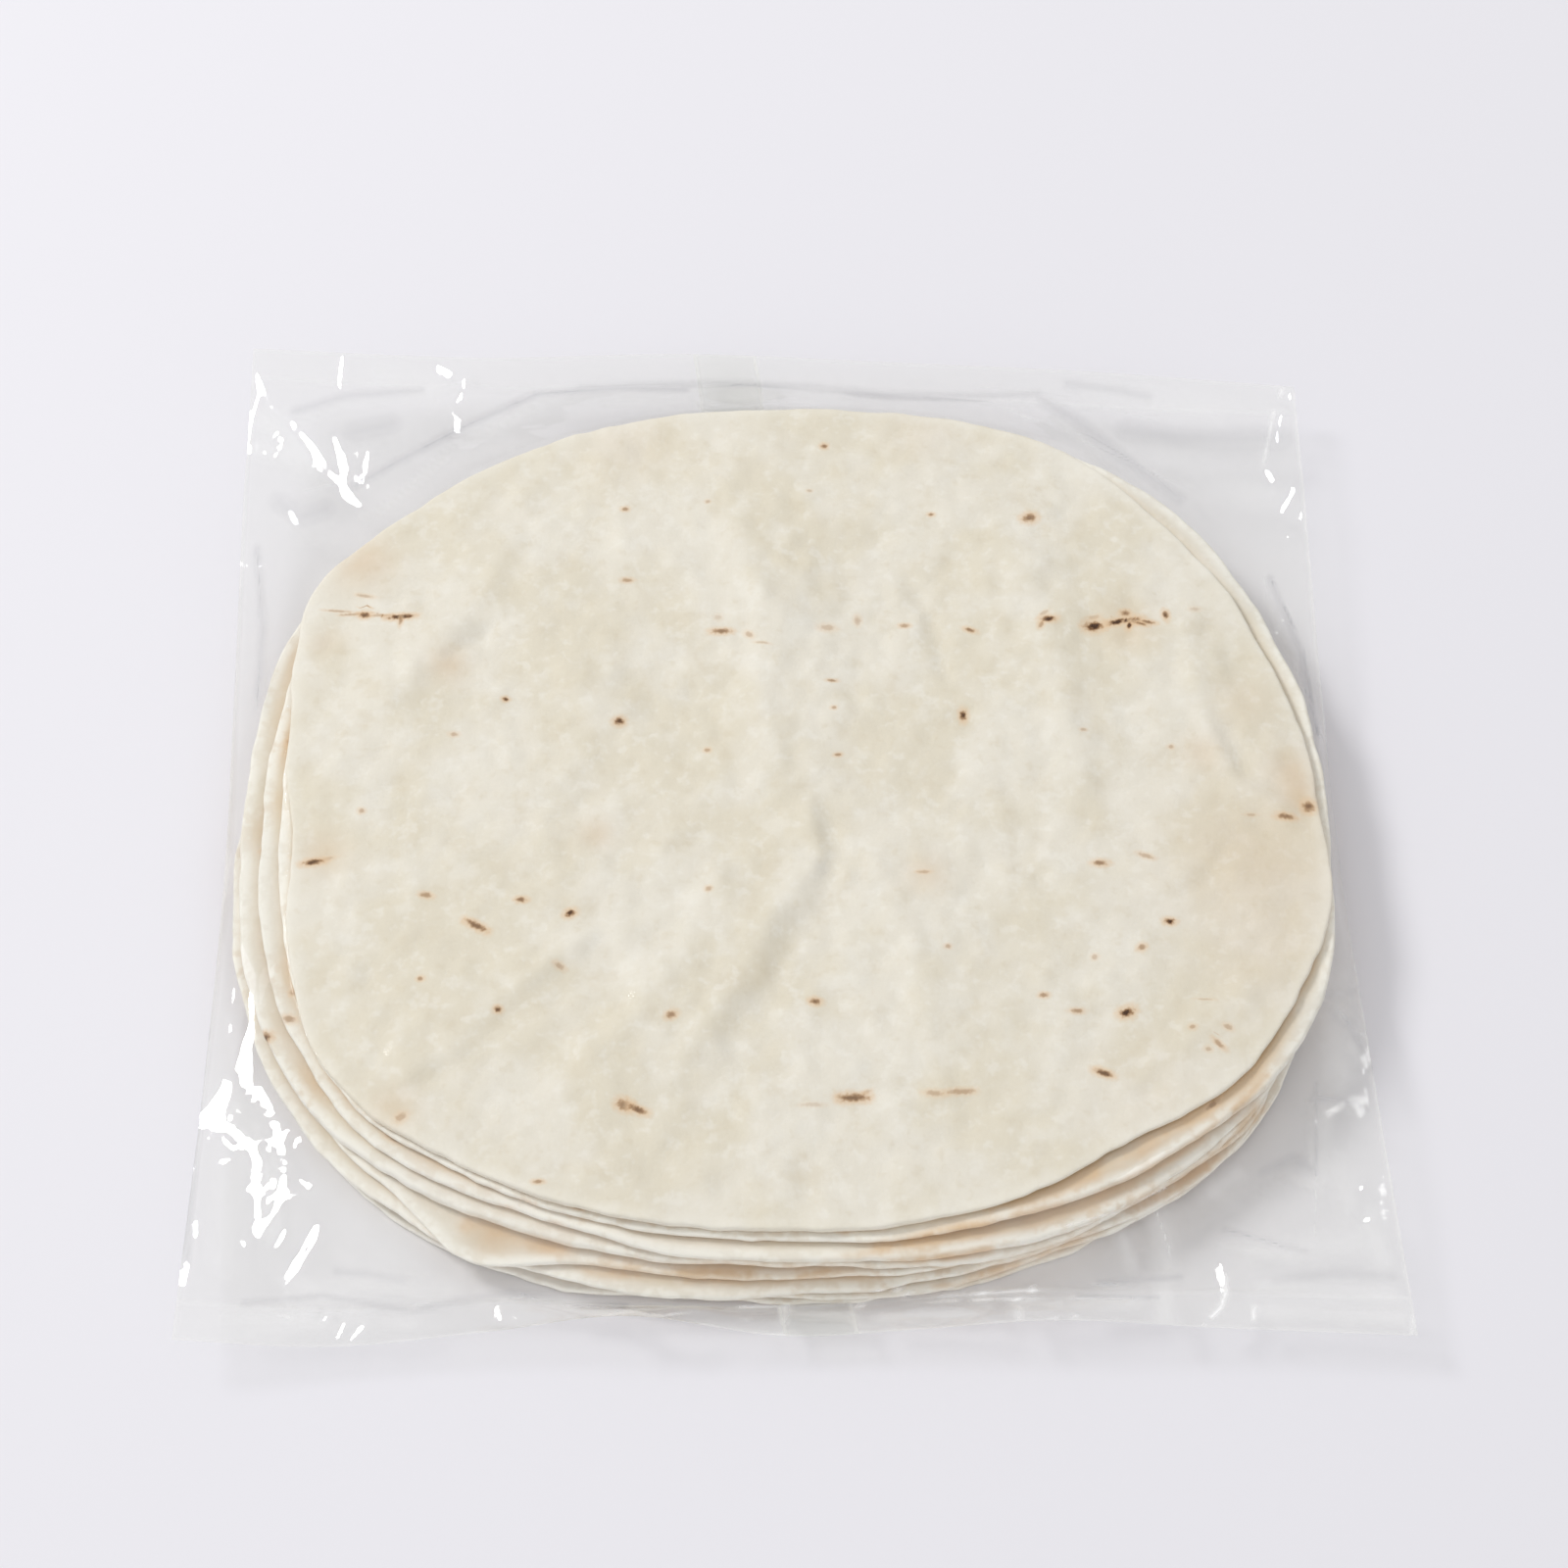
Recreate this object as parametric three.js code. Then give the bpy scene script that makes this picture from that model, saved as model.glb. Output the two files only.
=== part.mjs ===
// A clear sealed film bag with a stack of eight lavash sheets in it, lying flat.
//
// Millimetres, +Z up. The origin is under the middle of the bag's outline, on the surface that
// the bag lies on. The front is -Y, and left and right are as seen from the front.
//
// The bag is one closed skin. Along each direction from the origin a profile runs out over the
// top sheet, steps down over the rims of the upper sheets, goes out along the film to the bag's
// edge, comes back below it, steps down over the lower rims and closes on a flat base.
import * as THREE from 'three';

// Stack
const STACK_HEIGHT = 24;          // base to the top of the top sheet's rim
const SHEET_THICKNESS = 1.9;
const UPPER_PITCH = 2.9;          // rim to rim above the film's edge
const LOWER_PITCH = 2.8;          // rim to rim below it
const FIRST_LOWER_TOP = 11.1;     // top of the fifth sheet's rim
const RIM_NOSE = 1.1;             // how far a rim's nose stands out past its top edge
const GAP_DEPTH = 2.4;            // how far the gap between two rims runs in
const RIM_WAVE = 0.3;             // rise and fall of a rim along its length
const FOOT_INSET = 7;             // the flat base starts this far inside the lowest rim
const FOOT_LIFT = 0.5;            // height of the lowest rim's underside

// A sheet is a rounded square. Its lobes push the edge out or in, and its lifts raise or lower
// the rim: [direction in degrees, spread in degrees, millimetres].
const SHEET_SQUARENESS = 2.4;
const SHEETS = [
  { x: 4.3, y: -2.5, halfWidth: 151.7, halfDepth: 137.9,
    lobes: [[155, 11, 8.5], [-145, 12, 5.5], [24, 16, -8], [42, 10, -5],
      [-52, 12, -7], [-15, 8, 3.5], [-173, 7, -3.5], [-70, 8, -2]],
    lifts: [[-100, 30, 0.4], [-12, 20, 0.3]] },
  { x: 5.4, y: -3.7, halfWidth: 153.6, halfDepth: 138.5,
    lobes: [[26, 16, -4], [-26, 12, 4], [-55, 15, -1.5], [-145, 12, 4]],
    lifts: [[-38, 24, 1.2], [24, 20, 0.8]] },
  { x: -0.4, y: -7.7, halfWidth: 153.5, halfDepth: 139.5,
    lobes: [[-118, 14, -4], [150, 12, 3], [-30, 15, 4.5], [-60, 14, 2.4]],
    lifts: [[-95, 26, 0.3], [-55, 16, 0.3]] },
  { x: -7.0, y: -8.7, halfWidth: 153.5, halfDepth: 138,
    lobes: [[-120, 14, -2], [152, 14, 2], [60, 12, -3], [-34, 13, 10], [-60, 14, 5.5]],
    lifts: [[-82, 24, -0.6], [180, 24, 0.4]] },
  { x: -6.4, y: -10.7, halfWidth: 152.5, halfDepth: 138,
    lobes: [[-121, 7, 8], [100, 12, -3], [-60, 14, 2], [-33, 13, 9.5]],
    lifts: [[-80, 24, -0.3], [-121, 9, -0.6]] },
  { x: -9.0, y: -13.7, halfWidth: 153.4, halfDepth: 138.4,
    lobes: [[-100, 18, 1.5], [170, 10, -1], [-34, 14, 10]],
    lifts: [[-60, 20, 0.3]] },
  { x: 4.6, y: -15.2, halfWidth: 151.5, halfDepth: 137.5,
    lobes: [[-58, 13, -4], [-125, 14, -2], [20, 14, -3]],
    lifts: [[-45, 20, 0.4]] },
  { x: -8.6, y: -14.7, halfWidth: 153.2, halfDepth: 138.2,
    lobes: [[-152, 14, -2], [-60, 14, 1], [130, 12, -3]],
    lifts: [[-110, 30, 0.3]] },
];
const UPPER_SHEETS = 4;           // sheets whose rims are above the film's edge

// Broad folds in the top sheet: [x1, y1, x2, y2, height, half width].
const TOP_FOLDS = [
  [-11, 112, -1, 64, 1.2, 13], [-1, 64, 9, 2, 1.4, 14], [2, -30, -48, -96, 1.5, 14],
  [-73, 72, -58, 30, 1.0, 13], [76, 74, 88, 18, 1.0, 14], [118, 48, 146, -4, 1.2, 13],
  [32, -28, 46, -72, 1.0, 13], [-92, 66, -122, 32, 0.9, 12], [-48, -38, -110, -84, 0.9, 13],
];
const TOP_DISHES = [[8, -14, -1.3, 15], [24, 60, -0.8, 24], [-30, 24, -0.8, 20]];  // x, y, depth, radius

// Film. Each side of the bag runs through its points, from one corner to the next.
const CORNERS = {
  backLeft: [-170.4, 160.0, 23.5], frontLeft: [-165.0, -168.4, 15.5],
  frontRight: [170.4, -166.0, 12.0], backRight: [162.7, 150.5, 16.0],
};
const SIDES = [
  [CORNERS.frontLeft, [-124, -168.2, 9.5], [-80, -164.4, 11], [-43, -161.8, 16], [-1, -165.1, 9.5],
    [34, -163.9, 11], [72, -162.5, 14.5], [118, -163.8, 12], CORNERS.frontRight],
  [CORNERS.frontRight, [165.6, -96, 14.5], [162.2, -20, 13.5], [161.9, 45, 14.5],
    [162.4, 110, 16.5], CORNERS.backRight],
  [CORNERS.backRight, [95, 155.2, 18], [32, 162.8, 13], [-32, 168.4, 10], [-98, 162.6, 15.5],
    CORNERS.backLeft],
  [CORNERS.backLeft, [-169.6, 106, 17.5], [-166.9, 39, 14], [-164.4, -30, 12],
    [-165.0, -100, 9], CORNERS.frontLeft],
];
const SECTORS_PER_SIDE = 26;
const FILM_ROOT = 12.3;           // height at which the film leaves the stack
const FILM_ROOT_HALF = 0.9;       // half its thickness there
const FILM_EDGE_HALF = 0.6;       // and at its edge
const FILM_AIR = 1.1;             // half the air held between its layers in the corners
const FULL_AIR_SPAN = 45;         // reach past the stack at which the air is deepest
const SEAL_WIDTH = 11;            // flat crimped band at the front and the back
const FOLD_WIDTH = 3;             // band at the folded left and right sides
const FILM_STEPS = [0.25, 0.5, 0.75];
const WRINKLE = 0.7;              // height of the creases that run out to the corners

const TOP_STEPS = [0.12, 0.25, 0.38, 0.5, 0.62, 0.73, 0.83, 0.92];
const BASE_STEP = 0.5;

const bell = (distance, spread) => Math.exp(-((distance / spread) ** 2));

// Sum of bells round the circle, each [direction, spread, amount] with its angles in degrees.
function bellsAt(angle, bells) {
  const degrees = THREE.MathUtils.radToDeg(angle);
  return bells.reduce((sum, [towards, spread, amount]) => {
    const turn = THREE.MathUtils.euclideanModulo(degrees - towards + 180, 360) - 180;
    return sum + amount * bell(turn, spread);
  }, 0);
}

// Radius of a sheet about its own middle: a superellipse and its lobes.
function sheetRadius(sheet, angle) {
  const across = Math.abs(Math.cos(angle) / sheet.halfWidth) ** SHEET_SQUARENESS;
  const along = Math.abs(Math.sin(angle) / sheet.halfDepth) ** SHEET_SQUARENESS;
  return (across + along) ** (-1 / SHEET_SQUARENESS) + bellsAt(angle, sheet.lobes);
}

// Distance from the origin to a sheet's edge in a given direction, found by stepping to it.
function sheetReach(sheet, direction) {
  let reach = sheet.halfWidth;
  for (let step = 0; step < 12; step += 1) {
    const dx = reach * Math.cos(direction) - sheet.x;
    const dy = reach * Math.sin(direction) - sheet.y;
    reach += sheetRadius(sheet, Math.atan2(dy, dx)) - Math.hypot(dx, dy);
  }
  return reach;
}

// Height of a rim's top: its place in the stack, its lifts, and a small rise and fall along
// its length, out of step with the next rim.
function rimTop(index, direction) {
  const place = index < UPPER_SHEETS
    ? STACK_HEIGHT - index * UPPER_PITCH
    : FIRST_LOWER_TOP - (index - UPPER_SHEETS) * LOWER_PITCH;
  const wave = RIM_WAVE * Math.sin((5 + (index % 3)) * direction + 1.7 * index);
  return place + wave + bellsAt(direction, SHEETS[index].lifts);
}

// Height of a fold: a bell across the line from one end to the other.
function foldHeight([x1, y1, x2, y2, height, halfWidth], x, y) {
  const [ux, uy] = [x2 - x1, y2 - y1];
  const along = THREE.MathUtils.clamp(
    ((x - x1) * ux + (y - y1) * uy) / (ux * ux + uy * uy), 0, 1);
  return height * bell(Math.hypot(x - x1 - along * ux, y - y1 - along * uy), halfWidth);
}

function topRelief(x, y) {
  const folds = TOP_FOLDS.reduce((sum, fold) => sum + foldHeight(fold, x, y), 0);
  return TOP_DISHES.reduce(
    (sum, [dishX, dishY, depth, radius]) => sum + depth * bell(Math.hypot(x - dishX, y - dishY), radius),
    folds);
}

// The film from the stack (0) to the bag's edge (1): its middle height and half thickness.
function filmSection(share, root, edge, reach, direction) {
  const span = reach - root;
  const air = FILM_AIR * Math.min(1, span / FULL_AIR_SPAN) * Math.sin(Math.PI * share);
  const crease = WRINKLE * Math.sin(14 * direction) * Math.sin(Math.PI * share)
    * Math.min(1, span / FULL_AIR_SPAN);
  return {
    r: THREE.MathUtils.lerp(root, reach, share),
    z: THREE.MathUtils.lerp(FILM_ROOT, edge.z, share) + crease,
    half: THREE.MathUtils.lerp(FILM_ROOT_HALF, FILM_EDGE_HALF, share) + air,
  };
}

// Profile in one direction, as [radius, height] from the middle of the top to the base.
function profile(edge, isEnd) {
  const direction = Math.atan2(edge.y, edge.x);
  const reach = Math.hypot(edge.x, edge.y);
  const rims = SHEETS.map((sheet) => sheetReach(sheet, direction));
  const points = TOP_STEPS.map((share) => {
    const r = share * (rims[0] - RIM_NOSE);
    return [r, STACK_HEIGHT + topRelief(r * Math.cos(direction), r * Math.sin(direction))];
  });

  const addRim = (index, innerRadius, gapHeight) => {
    const top = rimTop(index, direction);
    points.push([rims[index] - RIM_NOSE, top]);
    points.push([rims[index], top - SHEET_THICKNESS / 2]);
    points.push([innerRadius, gapHeight]);
  };
  const gapBelow = (index) =>
    (rimTop(index, direction) - SHEET_THICKNESS + rimTop(index + 1, direction)) / 2;
  const gapRadius = (index) => Math.min(rims[index], rims[index + 1]) - GAP_DEPTH;

  const root = gapRadius(UPPER_SHEETS - 1);
  for (let index = 0; index < UPPER_SHEETS - 1; index += 1) {
    addRim(index, gapRadius(index), gapBelow(index));
  }
  addRim(UPPER_SHEETS - 1, root, FILM_ROOT + FILM_ROOT_HALF);

  const band = (isEnd ? SEAL_WIDTH : FOLD_WIDTH) * reach
    / Math.abs(isEnd ? edge.y : edge.x);
  const bandShare = 1 - Math.min(band / (reach - root), 0.2);
  const film = [...FILM_STEPS, bandShare, 1]
    .sort((a, b) => a - b)
    .map((share) => filmSection(share, root, edge, reach, direction));
  film.forEach(({ r, z, half }) => points.push([r, z + half]));
  film.reverse().forEach(({ r, z, half }) => points.push([r, z - half]));
  points.push([root, FILM_ROOT - FILM_ROOT_HALF]);

  const last = SHEETS.length - 1;
  for (let index = UPPER_SHEETS; index < last; index += 1) {
    addRim(index, gapRadius(index), gapBelow(index));
  }
  addRim(last, rims[last] - RIM_NOSE, FOOT_LIFT);
  points.push([rims[last] - FOOT_INSET, 0]);
  points.push([BASE_STEP * rims[last], 0]);
  return points.map(([r, z]) => [r * Math.cos(direction), r * Math.sin(direction), z]);
}

// Joins the profiles into one closed skin, with a point in the middle of its top and base.
function skinGeometry() {
  const profiles = SIDES.flatMap((side, index) => {
    const curve = new THREE.CatmullRomCurve3(side.map((point) => new THREE.Vector3(...point)));
    const edges = curve.getSpacedPoints(SECTORS_PER_SIDE).slice(0, SECTORS_PER_SIDE);
    return edges.map((edge) => profile(edge, index % 2 === 0));
  });
  const sectors = profiles.length;
  const rings = profiles[0].length;
  const positions = profiles.flat(2);
  positions.push(0, 0, STACK_HEIGHT + topRelief(0, 0), 0, 0, 0);
  const [topMiddle, baseMiddle] = [sectors * rings, sectors * rings + 1];

  const faces = [];
  for (let sector = 0; sector < sectors; sector += 1) {
    const here = sector * rings;
    const next = ((sector + 1) % sectors) * rings;
    faces.push(topMiddle, here, next);
    for (let ring = 0; ring < rings - 1; ring += 1) {
      faces.push(here + ring, here + ring + 1, next + ring + 1);
      faces.push(here + ring, next + ring + 1, next + ring);
    }
    faces.push(baseMiddle, next + rings - 1, here + rings - 1);
  }
  const geometry = new THREE.BufferGeometry();
  geometry.setAttribute('position', new THREE.Float32BufferAttribute(positions, 3));
  geometry.setIndex(faces);
  geometry.computeVertexNormals();
  return geometry;
}

const bread = new THREE.MeshStandardMaterial({ color: 0xe4dccb, roughness: 0.6, metalness: 0 });
const bag = new THREE.Mesh(skinGeometry(), bread);
bag.name = 'film_bag';

const pack = new THREE.Group();
pack.add(bag);

export default pack;
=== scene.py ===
"""A clear film bag with a stack of lavash sheets in it, lying flat on a pale table.

Sizes are worked out in millimetres, and add_piece turns them into metres. +Z is up, the front is
-Y, and the origin is under the middle of the bag's outline, on the surface that it lies on.
"""
import itertools
import math

import bpy
import numpy as np
from bpy.props import FloatProperty, FloatVectorProperty, PointerProperty
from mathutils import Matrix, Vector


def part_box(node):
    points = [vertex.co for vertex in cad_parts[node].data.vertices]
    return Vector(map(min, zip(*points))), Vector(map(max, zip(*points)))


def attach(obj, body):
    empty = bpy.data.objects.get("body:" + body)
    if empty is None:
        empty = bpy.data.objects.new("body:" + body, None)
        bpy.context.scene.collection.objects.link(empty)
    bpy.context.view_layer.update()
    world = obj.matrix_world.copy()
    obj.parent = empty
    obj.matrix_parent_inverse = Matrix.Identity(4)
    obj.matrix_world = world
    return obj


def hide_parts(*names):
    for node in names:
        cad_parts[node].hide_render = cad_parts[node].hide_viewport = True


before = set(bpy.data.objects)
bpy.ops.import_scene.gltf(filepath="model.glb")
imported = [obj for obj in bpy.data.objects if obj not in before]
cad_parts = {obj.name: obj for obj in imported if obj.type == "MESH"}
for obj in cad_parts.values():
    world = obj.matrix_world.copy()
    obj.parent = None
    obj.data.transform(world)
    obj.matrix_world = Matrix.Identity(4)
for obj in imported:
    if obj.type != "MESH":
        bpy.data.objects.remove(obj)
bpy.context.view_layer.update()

bl_info = {
    "name": "Bagged lavash",
    "version": (1, 0, 0),
    "blender": (4, 5, 0),
    "location": "3D View > Sidebar > Lavash",
    "description": "Thin flatbread sheets in a clear sealed film bag",
    "category": "Add Mesh",
}

NODE = "film_bag"
MM = 0.001
BAG_LOW, BAG_HIGH = (np.array(corner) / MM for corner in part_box(NODE))

# ---- Stack: the same named sizes as in the part's solids ----
STACK_HEIGHT = 24.0  # base to the top of the top sheet's rim
UPPER_PITCH = 2.9  # rim to rim above the film's edge
LOWER_PITCH = 2.8  # rim to rim below it
FIRST_LOWER_TOP = 11.1  # top of the fifth sheet's rim
UPPER_SHEETS = 4
RIM_NOSE = 1.1  # how far a rim's nose stands out past its top edge
RIM_WAVE = 0.3
RIM_GAP = 0.32  # usual air gap between two rims
BASE_CLEARANCE = 0.8  # height of the lowest sheet's underside
LOWEST_RIM = 1.25  # thickness of the lowest sheet's rim over a sheet's own
THINNEST_RIM = 0.8  # least thickness of a rim over a sheet's own
RIM_DENT, DENT_SIZE = 0.12, 8  # dents in a rim's underside
EDGE_WAVE, MORE_WAVE = 0.5, 0.08  # waves in a sheet's edge, and what each lower sheet has more
EDGE_CRUMBLE = 0.28  # small breaks in it
NOSE_BLUNTNESS = 0.6  # 1 for a half-round nose, less for a squarer one
NOSE_ANGLES = np.radians(np.arange(-67.5, 90, 22.5))[::-1]  # of the rings of points round it
RIM_CROWDING = 2.2  # how strongly a lower sheet's rings crowd to its rim
UNDER_SHARES = np.linspace(1, 0.2, 6)  # shares of the way out of the underside's rings

# Where along the way out from a sheet's middle it changes: (start, span), in shares of the way.
RIM_EASE = (0.7, 0.3)  # its face goes from the even pitch to its rim's place
WAVE_EASE = (0.88, 0.12)  # and takes on the rim's waves
RELIEF_EASE, RELIEF_LOSS = (0.9, 0.1), 0.6  # and loses this share of its relief
PUFF_EASE = (0.86, 0.12)  # it puffs up to its rim's thickness

# Noise in layers of (height, size, seed). Those of a sheet's own add its number to the seed.
RIM_NOISE = [(0.28, 15, 100), (0.17, 6, 140)]
GAP_NOISE = [(0.8, 24, 110)]  # of the gap under a rim, as a share of it
FACE_NOISE = [(0.25, 15, 30)]  # the same in every sheet's face
OWN_NOISE = [(0.08, 6, 40)]
TOP_NOISE = [(0.45, 21, 5), (0.50, 9, 6), (0.32, 4.5, 7)]

# A sheet is a rounded square. Its lobes push the edge out or in, and its lifts raise or lower
# the rim, and its gaps open the space below it: (direction in degrees, spread in degrees,
# millimetres).
SHEET_SQUARENESS = 2.4
SHEETS = [
    dict(x=4.3, y=-2.5, half_width=151.7, half_depth=137.9,
         lobes=[(155, 11, 8.5), (-145, 12, 5.5), (24, 16, -8), (42, 10, -5),
                (-52, 12, -7), (-15, 8, 3.5), (-173, 7, -3.5), (-70, 8, -2)],
         lifts=[(-100, 30, 0.4), (-12, 20, 0.3)],
         gaps=[(-62, 6, 0.3)]),
    dict(x=5.4, y=-3.7, half_width=153.6, half_depth=138.5,
         lobes=[(26, 16, -4), (-26, 12, 4), (-55, 15, -1.5), (-145, 12, 4)],
         lifts=[(-38, 24, 1.2), (24, 20, 0.8)],
         gaps=[(-66, 12, 0.9), (-48, 8, 0.5)]),
    dict(x=-0.4, y=-7.7, half_width=153.5, half_depth=139.5,
         lobes=[(-118, 14, -4), (150, 12, 3), (-30, 15, 4.5), (-60, 14, 2.4)],
         lifts=[(-95, 26, 0.3), (-55, 16, 0.3)],
         gaps=[(-96, 14, 0.5), (-60, 8, 0.3)]),
    dict(x=-7.0, y=-8.7, half_width=153.5, half_depth=138.0,
         lobes=[(-120, 14, -2), (152, 14, 2), (60, 12, -3), (-34, 13, 10),
                (-60, 14, 5.5)],
         lifts=[(-82, 24, -0.6), (180, 24, 0.4)],
         gaps=[(-92, 15, 0.9), (-122, 7, 0.7)]),
    dict(x=-6.4, y=-10.7, half_width=152.5, half_depth=138.0,
         lobes=[(-121, 7, 8), (100, 12, -3), (-60, 14, 2), (-33, 13, 9.5)],
         lifts=[(-80, 24, -0.3), (-121, 9, -0.6)],
         gaps=[(-50, 12, 0.7)]),
    dict(x=-9.0, y=-13.7, half_width=153.4, half_depth=138.4,
         lobes=[(-100, 18, 1.5), (170, 10, -1), (-34, 14, 10)],
         lifts=[(-60, 20, 0.3)],
         gaps=[(-112, 10, 0.4), (-70, 10, 0.4)]),
    dict(x=4.6, y=-15.2, half_width=151.5, half_depth=137.5,
         lobes=[(-58, 13, -4), (-125, 14, -2), (20, 14, -3)],
         lifts=[(-45, 20, 0.4)],
         gaps=[(-95, 10, 0.3)]),
    dict(x=-8.6, y=-14.7, half_width=153.2, half_depth=138.2,
         lobes=[(-152, 14, -2), (-60, 14, 1), (130, 12, -3)],
         lifts=[(-110, 30, 0.3)],
         gaps=[]),
]

# Broad folds in the top sheet: (x1, y1, x2, y2, height, half width), and dishes in it:
# (x, y, depth, radius).
TOP_FOLDS = [
    (-11, 112, -1, 64, 1.2, 13), (-1, 64, 9, 2, 1.4, 14), (2, -30, -48, -96, 1.5, 14),
    (-73, 72, -58, 30, 1.0, 13), (76, 74, 88, 18, 1.0, 14), (118, 48, 146, -4, 1.2, 13),
    (32, -28, 46, -72, 1.0, 13), (-92, 66, -122, 32, 0.9, 12), (-48, -38, -110, -84, 0.9, 13),
]
TOP_DISHES = [(8, -14, -1.3, 15), (24, 60, -0.8, 24), (-30, 24, -0.8, 20)]

# Narrow ridges and creases of the top sheet, through pixels of the 1600 pixel photograph:
# (height, half width, points).
RIDGE_STRENGTH = 1.35  # times their heights
TOP_RIDGES = [
    (0.95, 6.0, [(752, 539), (771, 604), (786, 656), (776, 712), (786, 760), (781, 800),
                 (812, 838)]),
    (1.1, 4.6, [(826, 830), (837, 872), (812, 902), (785, 941), (748, 1014), (701, 1075)]),
    (-0.6, 3.6, [(846, 850), (850, 895), (818, 950), (780, 1030)]),
    (0.7, 5.0, [(735, 890), (717, 935), (690, 985), (660, 1012)]),
    (0.75, 5.0, [(657, 990), (650, 1033), (607, 1077), (573, 1107)]),
    (0.45, 4.0, [(590, 1017), (560, 1047), (523, 1067)]),
    (0.4, 4.0, [(673, 937), (598, 960), (540, 1000)]),
    (0.45, 3.5, [(473, 1070), (427, 1087), (405, 1100)]),
    (0.35, 4.0, [(548, 590), (556, 660), (602, 722)]),
    (0.6, 6.5, [(1050, 570), (1066, 640), (1084, 700), (1104, 780)]),
    (0.6, 3.6, [(1208, 660), (1228, 736), (1262, 800), (1312, 830)]),
    (-0.45, 3.4, [(1246, 730), (1272, 790), (1322, 816)]),
    (0.5, 4.5, [(836, 890), (905, 930), (935, 978), (950, 1050)]),
    (0.45, 4.5, [(893, 885), (921, 932), (990, 950)]),
    (0.6, 4.5, [(509, 572), (495, 609), (452, 652), (402, 712)]),
    (-0.55, 2.4, [(462, 668), (486, 656), (502, 640)]),
    (-0.45, 2.2, [(352, 1108), (374, 1096), (386, 1076)]),
    (0.4, 3.5, [(640, 930), (560, 982), (432, 1090)]),
    (0.4, 4.0, [(700, 1130), (650, 1180), (600, 1200)]),
    (-0.5, 2.8, [(939, 605), (955, 650), (968, 690)]),
    (-0.4, 2.6, [(706, 708), (729, 728), (736, 750)]),
    (0.3, 3.0, [(1040, 430), (1066, 456), (1072, 480)]),
    (0.45, 4.5, [(1188, 900), (1230, 880), (1290, 900)]),
    (0.45, 4.5, [(1150, 1110), (1190, 1080), (1300, 990)]),
    (0.4, 5.0, [(600, 760), (560, 820), (548, 880)]),
    (0.45, 6.0, [(620, 470), (640, 540), (622, 620)]),
]

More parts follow.
